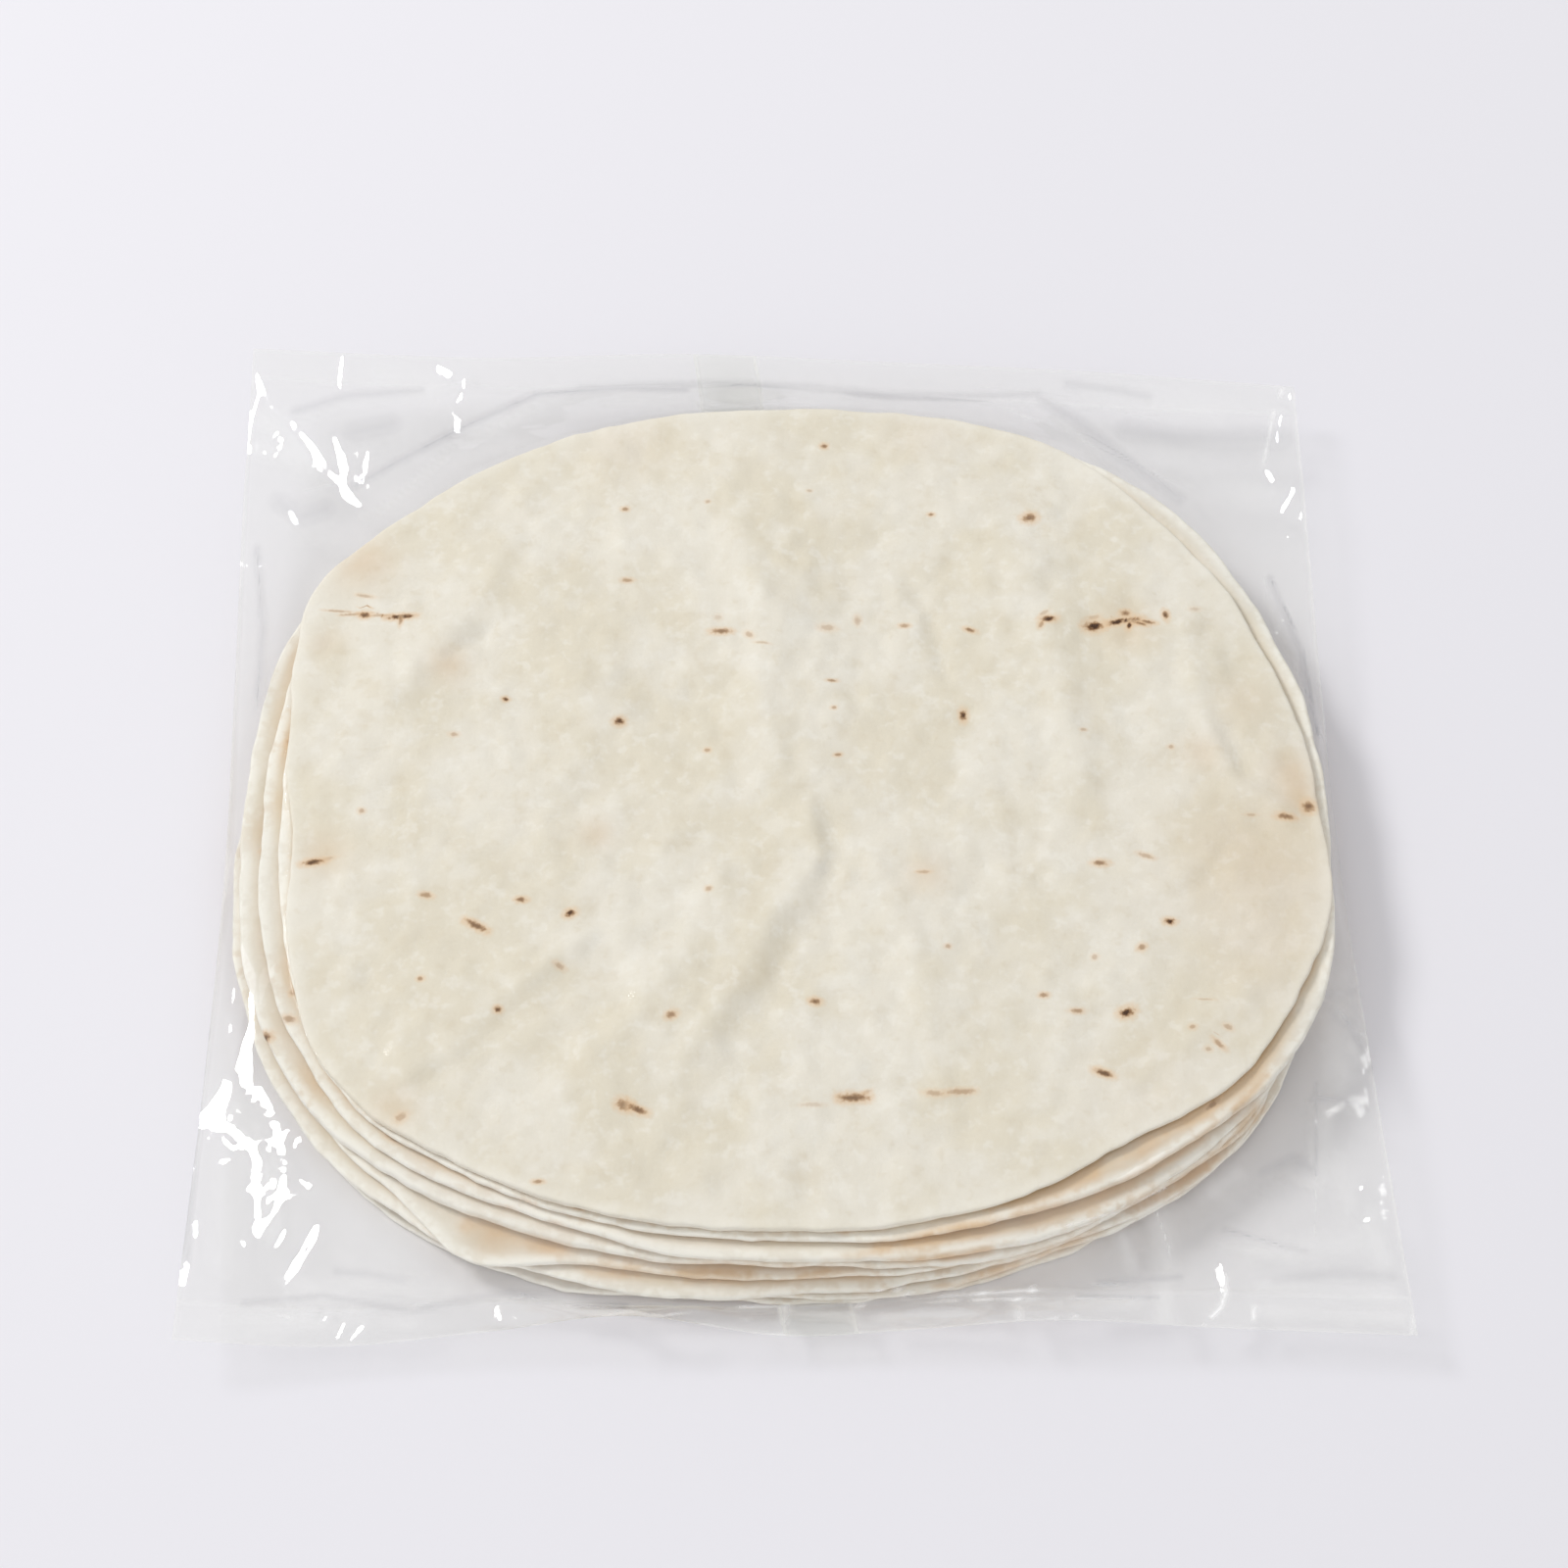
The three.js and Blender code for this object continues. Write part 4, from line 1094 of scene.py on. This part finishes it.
def seam_layers(lower, width):
    """The upper and lower faces of the back seam, a strip under the lower film layer that runs
    from front to back. Each row is read off the same row of that layer."""
    middle = np.linspace(SEAM_FRONT, SEAM_BACK, len(lower))
    across = middle[:, None] + (np.array(SEAM_SHARES) - 0.5) * width
    along = np.array([np.interp(x, row[:, 0], row[:, 1]) for x, row in zip(across, lower)])
    height = np.array([np.interp(x, row[:, 0], row[:, 2]) for x, row in zip(across, lower)])
    return (np.dstack([across, along, height - SEAM_TOP]),
            np.dstack([across, along, height - SEAM_BOTTOM]))


def front_veil(layer, in_seal):
    """Haze as a painted sheen, from the seal in front up to the top sheet's rim, fading out to the
    sides.
    """
    x, y = layer[..., 0], layer[..., 1]
    reach = sheet_reach(SHEETS[0], np.arctan2(y, x))
    return (VEIL * (1 - in_seal) * ease((np.hypot(x, y) - reach) / VEIL_FADE) * (y < 0)
            * rising(VEIL_HALF - np.abs(x), 0, VEIL_SIDE_FADE))


def crease_distance(layer):
    """Distance in pixels of the photograph to the nearest thin crease, more for a faint one."""
    pixels = to_photo(layer)
    return np.min([path_gap(pixels, path) + faint for faint, path in FILM_CREASES], axis=0)


def film_attributes(upper, in_seal, loose):
    """What the film's material reads at each point, over the upper layer and then the lower one:
    haze with painted sheens, specks and grey painted shade in it, how much of it is that grey
    painted shade, how little the film mirrors, and the distance to a crease."""
    # Painted shade: grey lines along folds and the top edge of a shadow. The veil, sheens and
    # specks added to the seals' haze are painted sheen and painted glints.
    shade_lines = on_paths(upper, FILM_SHADE_LINES)
    haze_sheen_and_shade = SEAL_HAZE * in_seal + front_veil(upper, in_seal) + on_paths(upper, FILM_PAINTED_SHEENS)
    shade = shade_lines / np.maximum(shade_lines + haze_sheen_and_shade, 0.01)
    haze_sheen_and_shade = haze_sheen_and_shade + shade_lines
    haze_sheen_and_shade[[SEAL_LINES, -SEAL_LINES - 1]] += ROOT_HAZE
    haze_sheen_and_shade[[0, -1]] = haze_sheen_and_shade[:, [0, -1]] = EDGE_HAZE
    cling = 1 - ease(loose / CLING_END)
    cling[in_seal > 0] = cling[:, 0] = cling[:, -1] = 0
    cling = np.maximum(cling, on_paths(upper, DULL_PATCHES))
    every = np.s_[::LOWER_STEP, ::LOWER_STEP]
    return {"haze_sheen_and_shade": np.append(haze_sheen_and_shade, np.minimum(haze_sheen_and_shade[every], UNDER_HAZE)),
            "shade": np.append(shade, 0 * shade[every]),
            "cling": np.append(cling, np.maximum(cling[every], UNDER_CLING)),
            "crease": np.append(crease_distance(upper), 0 * haze_sheen_and_shade[every] + FAR_CREASE)}


# ---- Meshes ----
SHARP_ANGLE = 55.0  # faces that meet at more than this have a sharp edge
TOP_GRID, LOWER_GRID = (600, 122), (480, 30)  # points round a sheet, and rings on its face
NO_TRIANGLES = np.zeros((0, 3), int)


def add_piece(name, points, quads, triangles, material, slot, attributes=None):
    """Makes a mesh of points in millimetres as a piece of the bag, smooth but for sharp edges."""
    mesh = bpy.data.meshes.new(name)
    corners = np.concatenate([quads.ravel(), triangles.ravel()]).astype(np.int32)
    totals = np.repeat([4, 3], [len(quads), len(triangles)]).astype(np.int32)
    mesh.vertices.add(len(points))
    mesh.vertices.foreach_set("co", (points * MM).astype(np.float32).ravel())
    mesh.loops.add(len(corners))
    mesh.loops.foreach_set("vertex_index", corners)
    mesh.polygons.add(len(totals))
    mesh.polygons.foreach_set("loop_start", (np.cumsum(totals) - totals).astype(np.int32))
    mesh.polygons.foreach_set("use_smooth", np.ones(len(totals), bool))
    mesh.update(calc_edges=True)
    mesh.validate()
    mesh.set_sharp_from_angle(angle=math.radians(SHARP_ANGLE))
    for key, values in (attributes or {}).items():
        values = np.asarray(values, np.float32)
        vectors = values.shape == (len(points), 3)
        attribute = mesh.attributes.new(key, "FLOAT_VECTOR" if vectors else "FLOAT", "POINT")
        attribute.data.foreach_set("vector" if vectors else "value", values.ravel())
    mesh.materials.append(material)
    piece = bpy.data.objects.new(name, mesh)
    bpy.context.scene.collection.objects.link(piece)
    if slot:
        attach(piece, "root")
        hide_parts(NODE)
    return piece


def ring_faces(rings, sectors):
    """Quads between rings of points, and fans from a pole before the first ring and one after
    the last. The poles follow the rings in the list of points."""
    ring, sector = np.meshgrid(np.arange(rings - 1), np.arange(sectors), indexing="ij")
    here, beside = ring * sectors + sector, ring * sectors + (sector + 1) % sectors
    quads = np.stack([here, here + sectors, beside + sectors, beside], -1).reshape(-1, 4)
    around, after = np.arange(sectors), (np.arange(sectors) + 1) % sectors
    last = (rings - 1) * sectors
    first_pole, last_pole = rings * sectors, rings * sectors + 1
    fans = np.concatenate([
        np.stack([np.full(sectors, first_pole), around, after], -1),
        np.stack([np.full(sectors, last_pole), last + after, last + around], -1)])
    return quads, fans


def grid_faces(rows, columns):
    """Quads of a grid of points, facing up where its columns run to +X and its rows to +Y."""
    row, column = np.meshgrid(np.arange(rows - 1), np.arange(columns - 1), indexing="ij")
    here = row * columns + column
    return np.stack([here, here + 1, here + columns + 1, here + columns], -1).reshape(-1, 4)


def border(rows, columns):
    """Indices round a grid's border, anticlockwise seen from above."""
    index = np.arange(rows * columns).reshape(rows, columns)
    return np.concatenate([index[0, :-1], index[:-1, -1], index[-1, :0:-1], index[:0:-1, 0]])


def slab_mesh(upper, lower):
    """Points and quads of two equal grids joined round their borders."""
    rows, columns = upper.shape[:2]
    loop = border(rows, columns)
    under = loop + rows * columns
    quads = np.concatenate([
        grid_faces(rows, columns), grid_faces(rows, columns)[:, ::-1] + rows * columns,
        np.stack([loop, under, np.roll(under, -1), np.roll(loop, -1)], -1)])
    return np.concatenate([upper.reshape(-1, 3), lower.reshape(-1, 3)]), quads


def two_layer_mesh(upper, lower):
    """Points, quads and triangles of two grids joined round their borders.

    The lower grid has every LOWER_STEP-th line of the upper one, so that each of its border
    edges meets two of the upper grid's, in a quad and a triangle.
    """
    top, bottom = upper.reshape(-1, 3), lower.reshape(-1, 3)
    upper_loop = border(*upper.shape[:2])
    lower_loop = border(*lower.shape[:2]) + len(top)
    first, second = upper_loop[::LOWER_STEP], upper_loop[1::LOWER_STEP]
    third, below = np.roll(first, -1), np.roll(lower_loop, -1)
    quads = np.concatenate([
        grid_faces(*upper.shape[:2]), grid_faces(*lower.shape[:2])[:, ::-1] + len(top),
        np.stack([first, lower_loop, below, second], -1)])
    triangles = np.stack([second, below, third], -1)
    return np.concatenate([top, bottom]), quads, triangles


def add_sheet(index, settings, material):
    """Adds one sheet: finer where it is the top one, with its marks, tan and painted shade as
    attributes.
    """
    thickness = settings.thickness / MM
    sectors, face_rings = TOP_GRID if index == 0 else LOWER_GRID
    rings, share, level = sheet_rings(index, sectors, face_rings, thickness)
    sheet = SHEETS[index]
    poles = np.array([(sheet["x"], sheet["y"], rings[0, :, 2].mean()),
                      (sheet["x"], sheet["y"], rings[-1, :, 2].mean())])
    points = np.concatenate([rings.reshape(-1, 3), poles])
    quads, fans = ring_faces(len(rings), sectors)
    x, y = points[:, 0], points[:, 1]
    rim = rising(share, RIM_START, 1 - RIM_START) * ease(level + 1)
    if index == 0:
        rim = TOP_RIM * rim
    # Tan patches, and painted shade under the rim of the sheet above and on the underside.
    tan = tan_and_shade_on(index, x, y) + np.append(UNDER_SHADE * ease(-level), [0, 0])
    attributes = {"tan": tan, "rim": np.append(rim, [0, 0]),
                  "recess_shade": on_paths(points, RECESS_SHADE_PATHS) if index > 0 else 0 * x}
    marks = on_sheet(index, SCORCH_MARKS, RANDOM_MARKS)
    for number, marks in enumerate(share_out(marks)):
        attributes[f"mark_{number}"], attributes[f"tone_{number}"] = mark_field(marks, x, y)
    return add_piece(f"lavash_{index + 1}", points, quads, fans, material, "lavash", attributes)


# ---- Shaders ----
class Field:
    """A number or colour that varies over a surface. Its operators add Math nodes."""

    def __init__(self, shader, socket):
        self.shader, self.socket = shader, socket

    def math(self, operation, *values, swap=False):
        values = [*values, self] if swap else [self, *values]
        return self.shader.node("ShaderNodeMath", {"operation": operation}, dict(enumerate(values)))

    def __add__(self, other):
        return self.math("ADD", other)

    def __sub__(self, other):
        return self.math("SUBTRACT", other)

    def __rsub__(self, other):
        return self.math("SUBTRACT", other, swap=True)

    def __mul__(self, other):
        return self.math("MULTIPLY", other)

    def __truediv__(self, other):
        return self.math("DIVIDE", other)

    def __pow__(self, other):
        return self.math("POWER", other)

    __radd__ = __add__
    __rmul__ = __mul__

    def at_most(self, other):
        return self.math("MINIMUM", other)

    def eased(self, low, high):
        """0 below low and 1 above high, with a smooth step between."""
        return self.shader.node("ShaderNodeMapRange", {"interpolation_type": "SMOOTHSTEP"},
                                {"Value": self, "From Min": low, "From Max": high})


class Shader:
    """A node tree written as expressions."""

    def __init__(self, tree):
        self.tree = tree
        tree.nodes.clear()

    def node(self, kind, settings=None, sockets=None, output=0):
        """Adds a node of a kind, sets it up, fills its sockets with values or links, and gives
        one of its outputs."""
        node = self.tree.nodes.new(kind)
        for name, value in (settings or {}).items():
            setattr(node, name, value)
        for key, value in (sockets or {}).items():
            if isinstance(value, Field):
                self.tree.links.new(value.socket, node.inputs[key])
            else:
                node.inputs[key].default_value = value
        return Field(self, node.outputs[output]) if node.outputs else None

    def noise(self, place, scale, detail, roughness=0.6):
        """Noise from 0 to 1 with a number of features to the metre."""
        return self.node("ShaderNodeTexNoise", {"noise_dimensions": "3D"}, {
            "Vector": place, "Scale": scale, "Detail": detail, "Roughness": roughness})

    def mix(self, factor, first, second):
        """Blends two colours, each of three numbers or a varying one."""
        first, second = (color if isinstance(color, Field) else opaque(color)
                         for color in (first, second))
        return self.node("ShaderNodeMix", {"data_type": "RGBA"}, {0: factor, 6: first, 7: second},
                         output=2)

    def bump(self, height, strength, distance):
        return self.node("ShaderNodeBump", {}, {"Height": height, "Strength": strength,
                                                "Distance": distance})

    def attribute(self, name, output="Fac"):
        return self.node("ShaderNodeAttribute", {"attribute_name": name}, output=output)

    def length(self, vector):
        return self.node("ShaderNodeVectorMath", {"operation": "LENGTH"}, {0: vector},
                         output="Value")

    def object_place(self):
        return self.node("ShaderNodeTexCoord", output="Object")


def new_material(name):
    """A new material and the shader that fills its node tree."""
    material = bpy.data.materials.new(name)
    material.use_nodes = True
    return material, Shader(material.node_tree)


def opaque(color):
    return (*color, 1.0)


def lavash_material(settings):
    """Pale crumb in two tones, mottled with flour in three sizes, with tan patches, painted shade
    in tan under the rims above and on the undersides, painted brown shade in the recesses between
    the lower rims, floury rims painted paler as light on their noses, and scorch marks that go from
    a pale orange halo through brown to a charred core."""
    material, shader = new_material("lavash")
    place = shader.object_place()
    cloud = shader.noise(place, 30, 2)
    patch = shader.noise(place, 85, 3, 0.62)
    mottle = shader.noise(place, 230, 2)
    grain = shader.noise(place, 700, 1)
    ragged = (shader.noise(place, 900, 1) - 0.5) * 1.6
    color = shader.mix(cloud.eased(0.40, 0.60), settings.crumb, settings.floury)
    for noise, start, end, most, tone in (
            (patch, 0.50, 0.70, 0.40, settings.flour), (patch, 0.46, 0.28, 0.35, settings.baked),
            (mottle, 0.56, 0.76, 0.30, settings.baked), (mottle, 0.48, 0.28, 0.45, settings.flour)):
        color = shader.mix(noise.eased(start, end) * most, color, tone)
    # Tan patches, and painted shade in tan under the rims above and on the undersides.
    tan = (shader.attribute("tan") * (0.45 + patch * 1.1)).at_most(1.0)
    color = shader.mix(tan * 0.9, color, settings.tan)
    # Floury rims, also painted paler as light on their noses.
    rim = shader.attribute("rim") * (0.45 + mottle.eased(0.34, 0.58) * 0.5)
    color = shader.mix(rim, color, settings.rim)
    # Painted shade: brown in the recesses between the lower rims.
    recess_shade = shader.attribute("recess_shade") * (0.30 + patch.eased(0.36, 0.62) * 0.7)
    recess_shade = (recess_shade * (0.7 + mottle * 0.6)).at_most(0.9)
    color = shader.mix(recess_shade, color, settings.recess_shade)
    for number in range(MARK_SETS):
        edge = shader.length(shader.attribute(f"mark_{number}", "Vector")) + ragged
        tone = shader.attribute(f"tone_{number}")
        color = shader.mix(edge.eased(3.8, 0.9) * tone.at_most(0.75), color, settings.halo)
        color = shader.mix(edge.eased(1.9, 0.7) * tone, color, settings.burnt)
        color = shader.mix(edge.eased(1.3, 0.3) * tone.eased(0.5, 1.0), color, settings.char)
    surface = shader.node("ShaderNodeBsdfPrincipled", {}, {
        "Base Color": color, "Roughness": 0.62 + grain * 0.2, "Specular IOR Level": 0.3,
        "Normal": shader.bump(mottle * 0.6 + grain * 0.25, 0.5, 0.0006)})
    shader.node("ShaderNodeOutputMaterial", {}, {"Surface": surface})
    return material


def film_material(settings):
    """Clear film: what it mirrors grows from its reflectance face on to all at a glancing angle,
    as the fifth power of one less the cosine. Where it clings to bread it mirrors little.
    Edges, welds and creases are hazy, and the haze also holds painted sheens on soft facets,
    white specks as painted glints, and grey painted shade along folds. Haze scatters light from
    a pale or, in the painted shade of folds, a grey surface. What is mirrored is metallic, as a
    share of both."""
    material, shader = new_material("clear_film")
    place = shader.object_place()
    facing = shader.node("ShaderNodeLayerWeight", {}, {"Blend": 0.5}, output="Facing")
    broken = shader.noise(place, 90, 1, 0.5).eased(0.42, 0.6)
    crease = shader.attribute("crease").eased(2.6, 0.6) * broken
    # Haze, with the painted sheens, the specks painted as glints and the painted shade in it.
    haze_sheen_and_shade = (shader.attribute("haze_sheen_and_shade") + crease * 0.6).at_most(1.6)
    bare = 1 - shader.attribute("cling") * 0.95
    mirrored = bare * settings.reflectance + facing ** 5 * (1 - settings.reflectance)
    factor = (mirrored + haze_sheen_and_shade * settings.haze_sheen_and_shade).at_most(1.0)
    ripple = shader.bump(shader.noise(place, 260, 1), 0.25, 0.0003)
    clear = shader.node("ShaderNodeBsdfTransparent", {}, {"Color": opaque(settings.tint)})
    # Grey where the haze is painted shade, pale elsewhere.
    hue = shader.mix(shader.attribute("shade"), settings.pale, settings.grey)
    gloss = shader.node("ShaderNodeBsdfPrincipled", {}, {
        "Base Color": hue, "Metallic": mirrored / factor, "Roughness": 0.05,
        "Specular IOR Level": 0.0, "Normal": ripple})
    surface = shader.node("ShaderNodeMixShader", {}, {0: factor, 1: clear, 2: gloss})
    shader.node("ShaderNodeOutputMaterial", {}, {"Surface": surface})
    return material


def table_material(color):
    """Matt pale table."""
    material, shader = new_material("table")
    surface = shader.node("ShaderNodeBsdfPrincipled", {}, {
        "Base Color": opaque(color), "Roughness": 0.9, "Specular IOR Level": 0.1})
    shader.node("ShaderNodeOutputMaterial", {}, {"Surface": surface})
    return material


# ---- Settings ----
def color_setting(name, description, default):
    return FloatVectorProperty(name=name, description=description, default=default, size=3,
                               min=0.0, max=1.0, subtype="COLOR")


class LavashSheetSettings(bpy.types.PropertyGroup):
    """Sizes and colours of the sheets."""
    thickness: FloatProperty(name="Thickness", description="Thickness of one sheet",
                             default=0.0019, unit="LENGTH")
    crumb: color_setting("Crumb", "Main cream of the bread", (0.735, 0.680, 0.570))
    floury: color_setting("Floury", "Paler areas of the bread", (0.775, 0.732, 0.650))
    flour: color_setting("Flour", "Palest specks and the rims", (0.84, 0.81, 0.75))
    baked: color_setting("Baked", "Slightly darker specks", (0.66, 0.585, 0.455))
    # Also the colour of painted shade under the rims above and on the undersides.
    tan: color_setting("Tan", "Faint tan patches", (0.645, 0.465, 0.285))
    # The rims are floury and also painted paler as light on their noses.
    rim: color_setting("Rim", "Floury edges of the sheets", (0.90, 0.875, 0.81))
    # Painted shade in the recesses between the lower rims.
    recess_shade: color_setting("Recess", "Brown between the lower rims", (0.69, 0.475, 0.27))
    halo: color_setting("Halo", "Ring round a scorch mark", (0.74, 0.53, 0.34))
    burnt: color_setting("Burnt", "Body of a scorch mark", (0.32, 0.17, 0.075))
    char: color_setting("Char", "Core of a scorch mark", (0.060, 0.026, 0.013))


class LavashFilmSettings(bpy.types.PropertyGroup):
    """Sizes and finish of the film."""
    seal_width: FloatProperty(name="Seal width", description="Width of the end seals",
                              default=0.011, unit="LENGTH")
    crumple: FloatProperty(name="Crumple", description="Height of the small facets in the film",
                           default=0.0011, unit="LENGTH")
    seam_width: FloatProperty(name="Seam width", description="Width of the back seam",
                              default=0.0205, unit="LENGTH")
    reflectance: FloatProperty(name="Reflectance", description="Share mirrored face on",
                               default=0.065, min=0.0, max=1.0)
    # Strength of the haze, which holds painted sheens, painted glint specks and painted grey shade.
    haze_sheen_and_shade: FloatProperty(name="Haze", description="How milky edges, welds and creases are",
                        default=0.5, min=0.0, max=1.0)
    tint: color_setting("Tint", "Colour that the film lets through", (0.994, 0.995, 0.985))
    # The pale haze also paints the sheens and the glint specks.
    pale: color_setting("Pale", "Colour of the haze", (0.97, 0.97, 0.97))
    # Grey of the painted shade along folds.
    grey: color_setting("Grey", "Colour of the haze in folds", (0.42, 0.42, 0.45))


class LavashStageSettings(bpy.types.PropertyGroup):
    """Table and lights."""
    table: color_setting("Table", "Colour of the table", (0.80, 0.79, 0.83))
    key_power: FloatProperty(name="Key", description="Power of the key light in watts",
                             default=59.0)
    fill: FloatProperty(name="Fill", description="Strength of the light all round", default=0.385)


# ---- Operators ----
class LAVASH_OT_add_sheets(bpy.types.Operator):
    """Add the stack of lavash sheets, the top one first"""
    bl_idname = "lavash.add_sheets"
    bl_label = "Add lavash sheets"

    def execute(self, context):
        settings = context.scene.lavash_sheets
        material = lavash_material(settings)
        for index in range(len(SHEETS)):
            add_sheet(index, settings, material)
        return {"FINISHED"}


class LAVASH_OT_add_film(bpy.types.Operator):
    """Add the film bag with its end seals and its back seam"""
    bl_idname = "lavash.add_film"
    bl_label = "Add film bag"

    def execute(self, context):
        settings = context.scene.lavash_film
        thickness = context.scene.lavash_sheets.thickness / MM
        material = film_material(settings)
        upper, lower, in_seal, loose = film_layers(settings.seal_width / MM,
                                                   settings.crumple / MM, thickness)
        points, quads, triangles = two_layer_mesh(upper, lower)
        add_piece("film_bag_clear", points, quads, triangles, material, "clear_film",
                  film_attributes(upper, in_seal, loose))
        points, quads = slab_mesh(*seam_layers(lower, settings.seam_width / MM))
        haze_sheen_and_shade = np.tile(SEAM_HAZE, len(points) // len(SEAM_HAZE))
        add_piece("film_seam", points, quads, NO_TRIANGLES, material, "clear_film", {
            "haze_sheen_and_shade": haze_sheen_and_shade, "shade": 0 * haze_sheen_and_shade, "cling": 0 * haze_sheen_and_shade + UNDER_CLING,
            "crease": 0 * haze_sheen_and_shade + FAR_CREASE})
        return {"FINISHED"}


class LAVASH_OT_add_stage(bpy.types.Operator):
    """Add the table, the lights and the camera"""
    bl_idname = "lavash.add_stage"
    bl_label = "Add table, lights and camera"

    def execute(self, context):
        settings = context.scene.lavash_stage
        corners = TABLE_HALF * np.array([(-1, -1, 0), (1, -1, 0), (1, 1, 0), (-1, 1, 0)])
        table = add_piece("table", corners, np.array([(0, 1, 2, 3)]), NO_TRIANGLES,
                          table_material(settings.table), None)
        add_key_light(settings.key_power)
        add_fill(context.scene, settings.fill)
        add_camera(context.scene)
        return {"FINISHED"}


def add_key_light(power):
    """A disk that looks KEY_SPREAD wide from the bag, facing it."""
    lamp = bpy.data.lights.new("key", "AREA")
    lamp.shape = "DISK"
    lamp.size = 2 * KEY_DISTANCE * MM * math.tan(KEY_SPREAD / 2)
    lamp.energy = power
    key = bpy.data.objects.new("key", lamp)
    bpy.context.scene.collection.objects.link(key)
    place_facing(key, KEY_PLACE * MM)


def place_facing(thing, place):
    """Puts a light at a place, turned so that it shines at the origin."""
    x, y, z = place
    thing.location = place
    thing.rotation_euler = (math.acos(z / np.linalg.norm(place)), 0, math.atan2(y, x) + math.pi / 2)


def add_fill(scene, strength):
    """Light from all round, brighter about a direction above and behind the bag and another low
    in front of it.

    How bright it is goes by the cosines between a direction and those two.
    """
    world = bpy.data.worlds.new("fill")
    world.use_nodes = True
    scene.world = world
    shader = Shader(world.node_tree)
    direction = shader.node("ShaderNodeTexCoord", output="Generated")
    sky, front = (shader.node("ShaderNodeVectorMath", {"operation": "DOT_PRODUCT"},
                              {0: direction, 1: toward}, output="Value")
                  for toward in (BRIGHT_SKY, FRONT_SKY))
    color = shader.mix(sky.eased(*BRIGHT_COSINES), ROUND_COLOR, BRIGHT_COLOR)
    color = shader.mix(front.eased(*FRONT_COSINES), color, FRONT_COLOR)
    light = shader.node("ShaderNodeBackground", {}, {"Color": color, "Strength": strength})
    shader.node("ShaderNodeOutputWorld", {}, {"Surface": light})


def add_camera(scene):
    """The camera at the photograph's angle."""
    lens = bpy.data.cameras.new("camera")
    lens.lens = CAMERA_LENS
    lens.sensor_width = SENSOR
    camera = bpy.data.objects.new("camera", lens)
    camera.location = CAMERA_PLACE * MM
    camera.rotation_euler = (CAMERA_TILT, 0, 0)
    scene.collection.objects.link(camera)
    scene.camera = camera
    scene.view_settings.view_transform = "Standard"


class LAVASH_PT_panel(bpy.types.Panel):
    """Lists the pieces and their settings"""
    bl_idname = "LAVASH_PT_panel"
    bl_label = "Bagged lavash"
    bl_space_type = "VIEW_3D"
    bl_region_type = "UI"
    bl_category = "Lavash"

    def draw(self, context):
        for operator, settings in ((LAVASH_OT_add_sheets, context.scene.lavash_sheets),
                                   (LAVASH_OT_add_film, context.scene.lavash_film),
                                   (LAVASH_OT_add_stage, context.scene.lavash_stage)):
            box = self.layout.box()
            box.operator(operator.bl_idname)
            for name in settings.__annotations__:
                box.prop(settings, name)


CLASSES = (LavashSheetSettings, LavashFilmSettings, LavashStageSettings, LAVASH_OT_add_sheets,
           LAVASH_OT_add_film, LAVASH_OT_add_stage, LAVASH_PT_panel)


def register():
    for cls in CLASSES:
        bpy.utils.register_class(cls)
    bpy.types.Scene.lavash_sheets = PointerProperty(type=LavashSheetSettings)
    bpy.types.Scene.lavash_film = PointerProperty(type=LavashFilmSettings)
    bpy.types.Scene.lavash_stage = PointerProperty(type=LavashStageSettings)


def unregister():
    del bpy.types.Scene.lavash_sheets
    del bpy.types.Scene.lavash_film
    del bpy.types.Scene.lavash_stage
    for cls in reversed(CLASSES):
        bpy.utils.unregister_class(cls)


def main():
    register()
    bpy.ops.lavash.add_sheets()
    bpy.ops.lavash.add_film()
    bpy.ops.lavash.add_stage()


if __name__ == "__main__":
    main()
